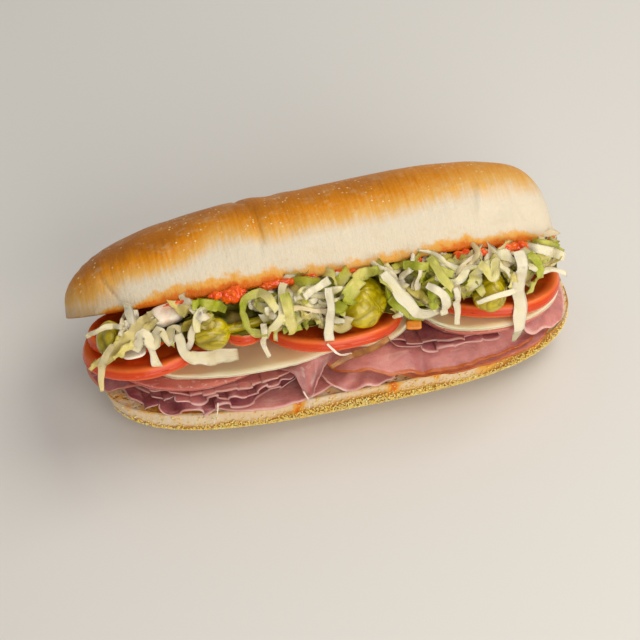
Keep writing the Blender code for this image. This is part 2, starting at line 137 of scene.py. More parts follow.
@dataclass
class Shape:
    """A surface: its points in millimetres, its faces, and values and flat coordinates per point."""

    points: Array
    quads: Array
    tris: Array = field(default_factory=lambda: np.zeros((0, 3), int))
    values: Dict[str, Array] = field(default_factory=dict)
    uv: Optional[Array] = None

    @staticmethod
    def join(shapes: Sequence["Shape"]) -> "Shape":
        """Put several shapes into one.

        Args:
            shapes: shapes that have the same named values.

        Returns:
            One shape, with the points in the order given.
        """
        starts = np.cumsum([0] + [len(shape.points) for shape in shapes[:-1]])
        names = shapes[0].values
        flat = None
        if shapes[0].uv is not None:
            flat = np.concatenate([shape.uv for shape in shapes])
        return Shape(
            np.concatenate([shape.points for shape in shapes]),
            np.concatenate([shape.quads + start for shape, start in zip(shapes, starts)]),
            np.concatenate([shape.tris + start for shape, start in zip(shapes, starts)]),
            {name: np.concatenate([shape.values[name] for shape in shapes]) for name in names},
            flat,
        )

    def moved(self, turn: Optional[Array] = None, shift: Sequence[float] = (0, 0, 0)) -> "Shape":
        """The shape turned by a matrix about the origin and then shifted."""
        points = self.points if turn is None else self.points @ turn.T
        return replace(self, points=points + np.asarray(shift, float))

    def resting(self, pile: "Pile", most: float = 5.0) -> "Shape":
        """The shape let down onto the pile, by a few millimetres at most, and felt by the pile."""
        plan = self.points[:, :2]
        gap = float(np.min(self.points[:, 2] - pile.sample(pile.top, plan[:, 0], plan[:, 1])))
        LOG.info("  let down by %.1f mm of %.1f", min(gap, most), gap)
        lowered = self.moved(shift=(0, 0, -min(max(gap - 0.1, -1.0), most)))
        pile.receive(lowered.points)
        return lowered

    def centred_in(self, node: str) -> "Shape":
        """The shape shifted so that the middle of its box is that of a CAD node's box."""
        middle = (self.points.min(axis=0) + self.points.max(axis=0)) / 2
        return self.moved(shift=node_middle(node) - middle)


def grid_quads(rows: int, columns: int, closed: bool = False) -> Array:
    """Faces of a grid of rows by columns of points, wrapped round its columns if closed."""
    r, c = np.meshgrid(np.arange(rows - 1), np.arange(columns if closed else columns - 1), indexing="ij")
    after = (c + 1) % columns
    first = r * columns + c
    second = r * columns + after
    return np.stack([first, second, second + columns, first + columns], axis=-1).reshape(-1, 4)


def tube(rings: Array, values: Dict[str, Array], uv: Optional[Array] = None) -> Shape:
    """A closed skin over a row of rings, with each end drawn to its middle.

    Args:
        rings: points as (ring, place on the ring, 3), in turn anticlockwise about the way they run.
        values: named values as (ring, place on the ring).
        uv: flat coordinates as (ring, place on the ring, 2).

    Returns:
        The closed shape.
    """
    count, around = rings.shape[:2]
    points = np.concatenate([rings.reshape(-1, 3), rings[:1].mean(axis=1), rings[-1:].mean(axis=1)])
    named = {
        name: np.concatenate([value.ravel(), [value[0].mean(), value[-1].mean()]])
        for name, value in values.items()
    }
    flat = None
    if uv is not None:
        flat = np.concatenate([uv.reshape(-1, 2), uv[:1].mean(axis=1), uv[-1:].mean(axis=1)])
    here = np.arange(around)
    after = (here + 1) % around
    start, end = count * around, count * around + 1
    last = (count - 1) * around
    near = np.stack([np.full(around, start), after, here], axis=-1)
    far = np.stack([np.full(around, end), last + here, last + after], axis=-1)
    quads = grid_quads(count, around, closed=True)
    return Shape(points, quads, np.concatenate([near, far]), named, flat)


def shell(top: Array, bottom: Array, values: Dict[str, Array], uv: Optional[Array] = None) -> Shape:
    """A closed slab between two grids of points that have the same plan.

    Args:
        top: points of the upper side as (row, column, 3), with rows along X and columns along Y.
        bottom: points of the lower side.
        values: named values as (row, column), the same on both sides.
        uv: flat coordinates as (row, column, 2), the same on both sides.

    Returns:
        The closed shape.
    """
    rows, columns = top.shape[:2]
    count = rows * columns
    index = np.arange(count).reshape(rows, columns)
    rim = np.concatenate([index[:-1, 0], index[-1, :-1], index[:0:-1, -1], index[0, :0:-1]])
    after = np.roll(rim, -1)
    sides = np.stack([rim, rim + count, after + count, after], axis=-1)
    upper = grid_quads(rows, columns)[:, ::-1]
    lower = grid_quads(rows, columns) + count
    points = np.concatenate([top.reshape(-1, 3), bottom.reshape(-1, 3)])
    named = {name: np.tile(value.ravel(), 2) for name, value in values.items()}
    flat = None if uv is None else np.tile(uv.reshape(-1, 2), (2, 1))
    return Shape(points, np.concatenate([upper, lower, sides[:, ::-1]]), values=named, uv=flat)


def denser(points: Array, times: int) -> Array:
    """The points of a grid and those between them, as a flat list.

    Args:
        points: a grid as (row, column, 3).
        times: how many steps each cell is divided into.

    Returns:
        Points as (n, 3).
    """
    found = []
    for s in np.arange(times) / times:
        for t in np.arange(times) / times:
            low = points[:-1, :-1] * (1 - t) + points[:-1, 1:] * t
            high = points[1:, :-1] * (1 - t) + points[1:, 1:] * t
            found.append((low * (1 - s) + high * s).reshape(-1, 3))
    return np.concatenate(found)


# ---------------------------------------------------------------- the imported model's frame


def heel_origin() -> Array:
    """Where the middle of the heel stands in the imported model's frame, in millimetres."""
    low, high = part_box("roll_bottom")
    return np.array([(low[0] + high[0]) / 2, (low[1] + high[1]) / 2, 0]) / MM


ORIGIN = heel_origin()


def node_middle(node: str) -> Array:
    """The middle of a CAD node's box, in this script's millimetres."""
    low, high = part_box(node)
    return (np.array(low) + np.array(high)) / 2 / MM - ORIGIN


def node_points(node: str, times: int = 6) -> Array:
    """Points spread over a CAD node's faces, in this script's millimetres.

    Args:
        node: the node's name.
        times: how many points lie along a face's side.

    Returns:
        Points as (n, 3).
    """
    mesh = frame["nodes"][node].data
    mesh.calc_loop_triangles()
    places = np.empty(len(mesh.vertices) * 3)
    mesh.vertices.foreach_get("co", places)
    corners = np.empty(len(mesh.loop_triangles) * 3, int)
    mesh.loop_triangles.foreach_get("vertices", corners)
    triangles = places.reshape(-1, 3)[corners.reshape(-1, 3)] / MM - ORIGIN
    shares = [(i / times, j / times) for i in range(times + 1) for j in range(times + 1 - i)]
    spread = [
        triangles[:, 0] * (1 - a - b) + triangles[:, 1] * a + triangles[:, 2] * b for a, b in shares
    ]
    return np.concatenate(spread)


def add_piece(
    name: str,
    shape: Shape,
    material: bpy.types.Material,
    nodes: Sequence[str] = (),
) -> bpy.types.Object:
    """Make a shape into a piece of the sandwich.

    Args:
        name: the piece's name.
        shape: its surface, in millimetres.
        material: its finish.
        nodes: the CAD nodes that it stands for.

    Returns:
        The object.
    """
    mesh = bpy.data.meshes.new(name)
    places = ((shape.points + ORIGIN) * MM).astype(np.float32)
    mesh.vertices.add(len(places))
    mesh.vertices.foreach_set("co", places.ravel())
    corners = np.concatenate([shape.quads.ravel(), shape.tris.ravel()]).astype(np.int32)
    sizes = np.concatenate([np.full(len(shape.quads), 4), np.full(len(shape.tris), 3)])
    mesh.loops.add(len(corners))
    mesh.loops.foreach_set("vertex_index", corners)
    mesh.polygons.add(len(sizes))
    mesh.polygons.foreach_set("loop_start", np.concatenate([[0], np.cumsum(sizes)[:-1]]).astype(np.int32))
    mesh.update(calc_edges=True)
    for label, value in shape.values.items():
        layer = mesh.attributes.new(name=label, type="FLOAT", domain="POINT")
        layer.data.foreach_set("value", value.astype(np.float32))
    if shape.uv is not None:
        layer = mesh.uv_layers.new(name="UVMap")
        layer.data.foreach_set("uv", shape.uv[corners].astype(np.float32).ravel())
    mesh.shade_smooth()
    mesh.materials.append(material)
    piece = bpy.data.objects.new(name, mesh)
    bpy.context.scene.collection.objects.link(piece)
    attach(piece, "root")
    if nodes:
        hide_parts(*nodes)
    LOG.info("%s: %d triangles", name, 2 * len(shape.quads) + len(shape.tris))
    return piece


# ---------------------------------------------------------------- shader tools


class Value:
    """An output socket with arithmetic on it: each operation adds a Math node."""

    def __init__(self, shader: "Shader", socket: bpy.types.NodeSocket) -> None:
        """Keep the socket and the shader that it is in."""
        self.shader = shader
        self.socket = socket

    def joined(self, operation: str, first: Number, second: Number = 0.0) -> "Value":
        """The value of one Math node."""
        return self.shader.node("ShaderNodeMath", {"operation": operation}, {0: first, 1: second})

    def __add__(self, other: Number) -> "Value":
        """self + other."""
        return self.joined("ADD", self, other)

    def __radd__(self, other: Number) -> "Value":
        """other + self."""
        return self.joined("ADD", other, self)

    def __sub__(self, other: Number) -> "Value":
        """self - other."""
        return self.joined("SUBTRACT", self, other)

    def __rsub__(self, other: Number) -> "Value":
        """other - self."""
        return self.joined("SUBTRACT", other, self)

    def __mul__(self, other: Number) -> "Value":
        """self * other."""
        return self.joined("MULTIPLY", self, other)

    def __rmul__(self, other: Number) -> "Value":
        """other * self."""
        return self.joined("MULTIPLY", other, self)

    def __truediv__(self, other: Number) -> "Value":
        """self / other."""
        return self.joined("DIVIDE", self, other)

    def __rtruediv__(self, other: Number) -> "Value":
        """other / self."""
        return self.joined("DIVIDE", other, self)

    def __pow__(self, other: Number) -> "Value":
        """self ** other."""
        return self.joined("POWER", self, other)

    def __neg__(self) -> "Value":
        """-self."""
        return self.joined("MULTIPLY", self, -1.0)

    def most(self, other: Number) -> "Value":
        """The larger of two values."""
        return self.joined("MAXIMUM", self, other)

    def least(self, other: Number) -> "Value":
        """The smaller of two values."""
        return self.joined("MINIMUM", self, other)

    def rise(self, low: float, high: float) -> "Value":
        """0 at low, 1 at high and a smooth step between them."""
        return self.shader.node(
            "ShaderNodeMapRange",
            {"interpolation_type": "SMOOTHSTEP"},
            {"Value": self, "From Min": low, "From Max": high},
        )


class Shader:
    """A material under construction, with its Principled shader."""

    def __init__(self, name: str) -> None:
        """Start a material."""
        self.material = bpy.data.materials.new(name)
        self.material.use_nodes = True
        self.tree = self.material.node_tree
        self.surface = self.tree.nodes["Principled BSDF"]
        self.normal: Optional[Value] = None

    def node(
        self,
        kind: str,
        settings: Optional[Dict[str, Any]] = None,
        sockets: Optional[Dict[Any, Any]] = None,
        output: Union[int, str] = 0,
    ) -> Value:
        """Add any node.

        Args:
            kind: the node's type.
            settings: its own settings, and stops for a colour ramp, as (place, colour).
            sockets: values or links of its inputs.
            output: which of its outputs is wanted.

        Returns:
            The output's value.
        """
        made = self.tree.nodes.new(kind)
        for key, value in (settings or {}).items():
            if key == "stops":
                self.set_stops(made.color_ramp, value)
            else:
                setattr(made, key, value)
        for key, value in (sockets or {}).items():
            self.feed(made.inputs[key], value)
        return Value(self, made.outputs[output])

    def set_stops(self, ramp: bpy.types.ColorRamp, stops: Sequence[Tuple[float, Colour]]) -> None:
        """Set a colour ramp's stops."""
        while len(ramp.elements) < len(stops):
            ramp.elements.new(1.0)
        for element, (place, colour) in zip(ramp.elements, stops):
            element.position = place
            element.color = (*colour, 1.0)

    def feed(self, socket: bpy.types.NodeSocket, value: Any) -> None:
        """Link a value to a socket, or set the socket's own number or colour."""
        if isinstance(value, Value):
            self.tree.links.new(value.socket, socket)
        elif socket.type == "RGBA":
            socket.default_value = (*value, 1.0)
        else:
            socket.default_value = value

    def places(self, pitch: Sequence[float], turns: Sequence[float] = (0, 0, 0)) -> Value:
        """Object coordinates in steps of a pitch in millimetres along each axis."""
        here = self.node("ShaderNodeTexCoord", output="Object")
        scale = [1 / (step * MM) for step in pitch]
        angles = [math.radians(turn) for turn in turns]
        return self.node("ShaderNodeMapping", None, {"Vector": here, "Scale": scale, "Rotation": angles})

    def flat(self, pitch: Sequence[float]) -> Value:
        """The piece's own flat coordinates, which are millimetres, in steps of a pitch."""
        here = self.node("ShaderNodeUVMap", {"uv_map": "UVMap"})
        scale = (1 / pitch[0], 1 / pitch[1], 1)
        return self.node("ShaderNodeMapping", None, {"Vector": here, "Scale": scale})

    def noise(self, places: Value, detail: float = 3.0, rough: float = 0.5, warp: float = 0.0) -> Value:
        """Cloudy noise from 0 to 1 over the given places."""
        sockets = {"Vector": places, "Scale": 1.0, "Detail": detail, "Roughness": rough, "Distortion": warp}
        return self.node("ShaderNodeTexNoise", None, sockets)

    def cells(self, places: Value, feature: str = "F1", output: str = "Distance") -> Value:
        """Voronoi cells over the given places."""
        return self.node("ShaderNodeTexVoronoi", {"feature": feature}, {"Vector": places, "Scale": 1.0}, output)

    def attribute(self, name: str) -> Value:
        """A named value of the piece."""
        return self.node("ShaderNodeAttribute", {"attribute_name": name}, output="Fac")

    def mix(self, first: Any, second: Any, share: Number, blend: str = "MIX") -> Value:
        """Two colours mixed by a share, which is kept between 0 and 1."""
        settings = {"data_type": "RGBA", "blend_type": blend, "clamp_factor": True}
        return self.node("ShaderNodeMix", settings, {0: share, 6: first, 7: second}, 2)

    def ramp(self, value: Value, stops: Sequence[Tuple[float, Colour]]) -> Value:
        """A colour for each value from 0 to 1."""
        return self.node("ShaderNodeValToRGB", {"stops": stops}, {"Fac": value})

    def raise_surface(self, height: Value, depth: float, strength: float = 1.0) -> None:
        """Add relief: height from 0 to 1 stands for depth in millimetres."""
        sockets = {"Height": height, "Distance": depth * MM, "Strength": strength}
        if self.normal is not None:
            sockets["Normal"] = self.normal
        self.normal = self.node("ShaderNodeBump", None, sockets)

    def finish(self, **sockets: Any) -> bpy.types.Material:
        """Set the Principled shader's sockets, whose names are given with _ for a space.

        Args:
            sockets: a value or a number for each socket.

        Returns:
            The finished material.
        """
        if self.normal is not None:
            sockets["Normal"] = self.normal
        for key, value in sockets.items():
            self.feed(self.surface.inputs[key.replace("_", " ")], value)
        return self.material


# ---------------------------------------------------------------- finishes


@dataclass(frozen=True)
class BreadFinish:
    """Baked crust that goes from pale to golden, with crumb where the bread is cut and painted shade in the crumb's
    pores.

    It reads the values brown, crumb, stain and meal, and flat coordinates along and across the roll.
    """

    name: str
    pale: Colour = srgb(224, 211, 188)
    tan: Colour = srgb(228, 174, 88)
    golden: Colour = srgb(222, 138, 6)
    dark: Colour = srgb(160, 88, 6)
    crumb: Colour = srgb(232, 214, 180)
    sauce: Colour = srgb(222, 108, 4)
    oil: Colour = srgb(230, 164, 50)
    meal: Colour = srgb(172, 112, 24)
    speck: Colour = srgb(250, 228, 168)

    def make(self) -> bpy.types.Material:
        """Build the material."""
        s = Shader(self.name)
        brown = s.attribute("brown")
        crumb = s.attribute("crumb")
        stain = s.attribute("stain")
        meal = s.attribute("meal")
        cloud = s.noise(s.places((26, 26, 26)), 4, 0.55)
        streaks = s.noise(s.flat((1.1, 16)), 3, 0.6)
        fine = s.noise(s.places((1.6, 1.6, 1.6)), 4, 0.6)
        level = brown + (cloud - 0.5) * 0.26 + (streaks - 0.5) * 0.5 * (brown * (1 - brown) * 4)
        crust = s.ramp(
            level,
            ((0.0, self.pale), (0.12, self.pale), (0.38, self.tan), (0.68, self.golden), (1.0, self.dark)),
        )
        mottle = s.noise(s.places((3.2, 3.2, 3.2)), 3, 0.6)
        blotch = s.noise(s.places((9, 5, 5)), 4, 0.65)
        crust = s.mix(crust, srgb(214, 190, 150), (blotch - 0.5).rise(0.0, 0.3) * 0.45)
        crust = s.mix(crust, srgb(255, 236, 190), (mottle - 0.5).rise(0.05, 0.35) * 0.22)
        crust = s.mix(crust, srgb(150, 92, 32), (0.5 - mottle).rise(0.08, 0.35) * 0.25 * brown)
        dots = s.cells(s.places((2.6, 2.6, 2.6)))
        patch = s.noise(s.places((19, 19, 19)), 2, 0.5).rise(0.40, 0.56)
        dots = (1 - dots.rise(0.12, 0.24)) * patch * brown.rise(0.3, 0.6)
        crust = s.mix(crust, self.speck, dots * 0.85)
        grains = s.cells(s.places((0.9, 0.9, 0.9)))
        grains = (1 - grains.rise(0.16, 0.42)) * meal
        crust = s.mix(crust, self.meal, (meal * 0.9).least(0.9))
        crust = s.mix(crust, srgb(240, 192, 84), grains * 0.7)
        # Painted shade: the crumb is coloured darker inside its pores, where shade falls; the same hole mask also
        # sinks the relief.
        pores = s.cells(s.places((1.7, 1.7, 1.7)))
        holes = 1 - pores.rise(0.12, 0.42)
        soft = s.mix(self.crumb, srgb(212, 180, 128), holes * 0.4)
        colour = s.mix(crust, soft, crumb)
        spread = stain + (s.noise(s.places((3.4, 3.4, 3.4)), 4, 0.65) - 0.5) * 0.9
        colour = s.mix(colour, self.oil, spread.rise(0.16, 0.5) * 0.9)
        colour = s.mix(colour, self.sauce, spread.rise(0.5, 0.82) * 0.95)
        s.raise_surface(fine, 0.3, 0.7)
        s.raise_surface(mottle, 0.35, 0.5)
        s.raise_surface(dots, 0.25, 0.8)
        s.raise_surface(streaks, 0.3, 0.6)
        s.raise_surface(1 - holes * crumb, 0.7, 0.8)
        s.raise_surface(grains, 0.4, 0.8)
        rough = 0.62 - brown * 0.18 + (fine - 0.5) * 0.2 - spread.rise(0.4, 0.7) * 0.25
        return s.finish(
            Base_Color=colour,
            Roughness=rough,
            Specular_IOR_Level=0.22,
            Subsurface_Weight=0.05,
            Subsurface_Radius=(0.003, 0.002, 0.001),
            Subsurface_Scale=0.5,
        )


@dataclass(frozen=True)
class MeatFinish:
    """Moist sliced ham: pink clouds, fibres, paler thin edges and a browned rind.

    It reads the values edge, tone, rind and fat.
    """

    name: str
    light: Colour = srgb(222, 148, 138)
    deep: Colour = srgb(150, 78, 88)
    edge: Colour = srgb(240, 192, 182)
    rind: Colour = srgb(192, 100, 42)
    fat: Colour = srgb(240, 206, 186)

    def make(self) -> bpy.types.Material:
        """Build the material."""
        s = Shader(self.name)
        edge, tone = s.attribute("edge"), s.attribute("tone")
        cloud = s.noise(s.places((11, 9, 11)), 4, 0.6)
        fibre = s.noise(s.places((2.6, 2.6, 2.6)), 4, 0.65, 0.8)
        share = tone * 0.8 + (cloud - 0.5) * 1.3 + (fibre - 0.5) * 0.6
        colour = s.mix(self.light, self.deep, share)
        colour = s.mix(colour, self.edge, (1 - edge.rise(0.04, 0.24)) * 0.8)
        marble = s.noise(s.places((13, 3, 3), (0, 20, 12)), 4, 0.6, 0.5).rise(0.54, 0.72)
        fat = s.attribute("fat")
        colour = s.mix(colour, self.fat, (marble * (0.3 + fat * 0.6) + fat.rise(0.5, 1.0) * 0.4).least(0.85))
        rind = s.attribute("rind") * (1 - edge.rise(0.06, 0.4)) + (cloud - 0.5) * 0.2
        colour = s.mix(colour, self.rind, rind.rise(0.25, 0.7))
        s.raise_surface(fibre, 0.35, 0.5)
        s.raise_surface(s.noise(s.places((5, 3, 3)), 4, 0.6), 0.6, 0.5)
        return s.finish(
            Base_Color=colour,
            Roughness=0.3 + (cloud - 0.5) * 0.25,
            Specular_IOR_Level=0.5,
            Subsurface_Weight=0.3,
            Subsurface_Radius=(0.004, 0.0014, 0.001),
            Subsurface_Scale=0.6,
        )


@dataclass(frozen=True)
class SalamiFinish:
    """Cured sausage: deep pink, with white flecks of fat."""

    name: str = "cured_sausage"
    lean: Colour = srgb(226, 142, 126)
    deep: Colour = srgb(192, 98, 88)
    fleck: Colour = srgb(240, 204, 190)

    def make(self) -> bpy.types.Material:
        """Build the material."""
        s = Shader(self.name)
        cloud = s.noise(s.places((7, 7, 7)), 4, 0.6)
        colour = s.mix(self.lean, self.deep, (cloud - 0.5) * 1.4 + 0.4)
        warp = s.noise(s.places((2.6, 1.6, 1.6)), 3, 0.6, 0.6)
        flecks = warp.rise(0.57, 0.66)
        colour = s.mix(colour, self.fleck, flecks * 0.8)
        colour = s.mix(colour, srgb(222, 140, 126), (1 - s.attribute("edge").rise(0.0, 0.22)) * 0.4)
        s.raise_surface(warp, 0.3, 0.5)
        return s.finish(
            Base_Color=colour,
            Roughness=0.34 + flecks * 0.1,
            Subsurface_Weight=0.2,
            Subsurface_Radius=(0.003, 0.001, 0.0008),
            Subsurface_Scale=0.6,
        )


@dataclass(frozen=True)
class CheeseFinish:
    """Smooth, slightly translucent cheese, paler along its cut edge."""

    name: str = "sliced_cheese"
    body: Colour = srgb(255, 242, 196)
    edge: Colour = srgb(255, 247, 216)

    def make(self) -> bpy.types.Material:
        """Build the material."""
        s = Shader(self.name)
        cloud = s.noise(s.places((14, 14, 14)), 3, 0.5)
        colour = s.mix(self.body, srgb(250, 226, 164), (cloud - 0.5) * 1.2 + 0.2)
        colour = s.mix(colour, self.edge, (1 - s.attribute("edge").rise(0.0, 0.5)) * 0.7)
        s.raise_surface(s.noise(s.places((4, 4, 4)), 3, 0.5), 0.2, 0.35)
        return s.finish(
            Base_Color=colour,
            Roughness=0.36 + (cloud - 0.5) * 0.2,
            Subsurface_Weight=0.4,
            Subsurface_Radius=(0.004, 0.0032, 0.002),
            Subsurface_Scale=0.6,
        )


@dataclass(frozen=True)
class TomatoFinish:
    """A cut tomato: skin, pale outer wall and darker wet flesh with gel.

    It reads the values radius and gel.
    """

    name: str
    wall: Colour = srgb(238, 112, 46)
    flesh: Colour = srgb(214, 76, 18)
    skin: Colour = srgb(214, 68, 16)
    gel: Colour = srgb(200, 92, 22)

    def make(self) -> bpy.types.Material:
        """Build the material."""
        s = Shader(self.name)
        radius, gel = s.attribute("radius"), s.attribute("gel")
        fibre = s.noise(s.places((2.4, 2.4, 2.4)), 4, 0.6)
        cloud = s.noise(s.places((8, 8, 8)), 3, 0.5)
        colour = s.mix(self.flesh, self.wall, (radius + (cloud - 0.5) * 0.1).rise(0.8, 0.93))
        colour = s.mix(colour, srgb(244, 132, 70), (fibre - 0.5).rise(0.02, 0.3) * 0.5)
        colour = s.mix(colour, self.gel, gel * 0.8)
        colour = s.mix(colour, self.skin, radius.rise(0.972, 0.995))
        s.raise_surface(fibre, 0.3, 0.5)
        return s.finish(
            Base_Color=colour,
            Roughness=0.22 + (fibre - 0.5) * 0.2,
            Specular_IOR_Level=0.4,
            Subsurface_Weight=0.15,
            Subsurface_Radius=(0.003, 0.0014, 0.0006),
            Subsurface_Scale=0.5,
        )


@dataclass(frozen=True)
class LeafFinish:
    """Shredded lettuce, from white ribs to green leaf, with fine veins along each shred.

    It reads the values green and tone, and flat coordinates along and across the shred.
    """

    name: str
    white: Colour = srgb(234, 224, 192)
    pale: Colour = srgb(220, 208, 122)
    green: Colour = srgb(166, 174, 34)

    def make(self) -> bpy.types.Material:
        """Build the material."""
        s = Shader(self.name)
        green, tone = s.attribute("green"), s.attribute("tone")
        veins = s.noise(s.flat((3.6, 0.55)), 4, 0.65)
        cloud = s.noise(s.places((6, 6, 6)), 3, 0.5)
        share = green + (cloud - 0.5) * 0.6 + (veins - 0.5) * 0.6
        colour = s.ramp(share, ((0.12, self.white), (0.5, self.pale), (0.95, self.green)))
        colour = s.mix(colour, srgb(206, 164, 96), (tone - 0.4).rise(0.0, 0.7) * 0.5)
        s.raise_surface(veins, 0.4, 0.8)
        return s.finish(
            Base_Color=colour,
            Roughness=0.34 + (veins - 0.5) * 0.2,
            Specular_IOR_Level=0.45,
            Subsurface_Weight=0.35,
            Subsurface_Radius=(0.003, 0.003, 0.0012),
            Subsurface_Scale=0.6,
        )


@dataclass(frozen=True)
class PepperFinish:
    """Pickled pepper: glossy yellow-green skin with paler bumps, and painted shade in its creases and folds."""

    name: str = "pickled_pepper"
    body: Colour = srgb(186, 166, 2)
    light: Colour = srgb(214, 196, 18)
    deep: Colour = srgb(116, 98, 1)

    def make(self) -> bpy.types.Material:
        """Build the material."""
        s = Shader(self.name)
        cloud = s.noise(s.places((6, 6, 6)), 3, 0.5)
        crease = s.attribute("crease")
        bend = s.noise(s.places((10, 7, 8)), 2, 0.4, 0.9) - 0.5
        bend = bend.most(-bend)
        colour = s.mix(self.body, self.light, cloud.rise(0.45, 0.75))
        # Painted shade: the deep colour is laid into the pod's creases (the crease values), beside random darker
        # patches from the cloud.
        colour = s.mix(colour, self.deep, crease * 0.7 + (0.4 - cloud).rise(0.0, 0.3) * 0.5)
        # Painted shade: the deep colour is also laid along the folds of the bend relief.
        colour = s.mix(colour, self.deep, (0.06 - bend).rise(0.0, 0.06) * 0.45)
        s.raise_surface(bend, 3.0, 0.8)
        s.raise_surface(s.noise(s.places((2.5, 2.5, 2.5)), 2, 0.5), 0.35, 0.4)
        return s.finish(
            Base_Color=colour,
            Roughness=0.24 + (cloud - 0.5) * 0.12,
            Coat_Weight=0.3,
            Coat_Roughness=0.12,
            Subsurface_Weight=0.3,
            Subsurface_Radius=(0.004, 0.003, 0.0005),
            Subsurface_Scale=0.6,
        )


@dataclass(frozen=True)
class PlainFoodFinish:
    """A small uneven piece of food in two mixed colours."""

    name: str
    first: Colour
    second: Colour
    pitch: float = 3.0
    rough: float = 0.3
    relief: float = 0.3
    glow: float = 0.3

    def make(self) -> bpy.types.Material:
        """Build the material."""
        s = Shader(self.name)
        cloud = s.noise(s.places((self.pitch,) * 3), 4, 0.6)
        colour = s.mix(self.first, self.second, cloud.rise(0.35, 0.65))
        s.raise_surface(cloud, self.relief, 0.6)
        return s.finish(
            Base_Color=colour,
            Roughness=self.rough + (cloud - 0.5) * 0.2,
            Subsurface_Weight=self.glow,
            Subsurface_Radius=(0.003, 0.0015, 0.0008),
            Subsurface_Scale=0.5,
        )


# ---------------------------------------------------------------- the roll


class Side(Enum):
    """Which way the skin of a loaf half bulges from its cut face."""

    UP = 1
    DOWN = -1


@dataclass
class LoafHalf:
    """Half a long roll: a super-elliptic loaf cut flat, before it is put in its place.

    At a station s from -1 to 1 along the roll the section shrinks by (1 - |s|^p)^(1/p). Round the
    section, the width goes with cos^(2/q) and the height with sin^(2/q) of the turn.
    """

    half_length: float
    half_width: float
    height: float
    gain: float
    end_powers: Tuple[float, float]
    side_power: float
    side: Side
    stations: int = 250
    around: int = 110
    across: int = 40
    trim: float = 0.5

    def rings(self) -> Tuple[Array, Array, Array]:
        """Points of the skin and the cut face.

        Returns:
            Rings as (station, place, 3), the share of the skin's run at each place, which is 0 at the
            front edge and 1 at the back one, and a mask that is 1 on the cut face.
        """
        t = np.linspace(-1, 1, self.stations)
        s = np.sin(t * np.pi / 2) * 0.9999
        power = np.where(s < 0, self.end_powers[0], self.end_powers[1])
        spread = (1 - np.abs(s) ** power) ** (1 / power)
        turn = np.linspace(np.pi, 0, self.around)
        wide = signed_power(np.cos(turn), 2 / self.side_power)
        tall = np.abs(np.sin(turn)) ** (2 / self.side_power) * self.side.value
        height = self.height + self.gain * s
        skin = np.stack(
            [
                np.broadcast_to((self.half_length - self.trim) * s[:, None], (len(s), len(turn))),
                (self.half_width - self.trim) * spread[:, None] * wide,
                (height - self.trim)[:, None] * spread[:, None] * tall,
            ],
            axis=-1,
        )
        back = np.linspace(1, -1, self.across + 2)[1:-1]
        inset = np.sign(back) * (1 - (1 - np.abs(back)) ** 1.3)
        face = np.stack(
            [
                np.broadcast_to(skin[:, :1, 0], (len(s), len(back))),
                -skin[:, :1, 1] * inset,
                np.zeros((len(s), len(back))),
            ],
            axis=-1,
        )
        share = np.concatenate([np.linspace(0, 1, self.around), (1 + inset[::-1][::-1]) / 2])
        cut = np.concatenate([np.zeros(self.around), np.ones(len(back))])
        rings = np.concatenate([skin, face], axis=1)
        return rings, np.broadcast_to(share, rings.shape[:2]), np.broadcast_to(cut, rings.shape[:2])

    def outward(self, rings: Array) -> Array:
        """Unit directions out of the skin, near enough: from the middle of the cut face."""
        ways = rings * np.array([0.2, 1, 1])
        ways[..., 2] += self.side.value * 0.01
        return ways / np.linalg.norm(ways, axis=-1, keepdims=True)


def end_droop(a: Array) -> Array:
    """How far the crown's cut edge hangs lower towards its +X end, at places along the roll."""
    return 3.4 * smooth_step((a - 40) / 42)


def arc_length(rings: Array) -> Array:
    """How far round its ring each point lies from the ring's start, in millimetres."""
    steps = np.linalg.norm(np.diff(rings, axis=1), axis=-1)
    return np.concatenate([np.zeros((len(rings), 1)), np.cumsum(steps, axis=1)], axis=1)


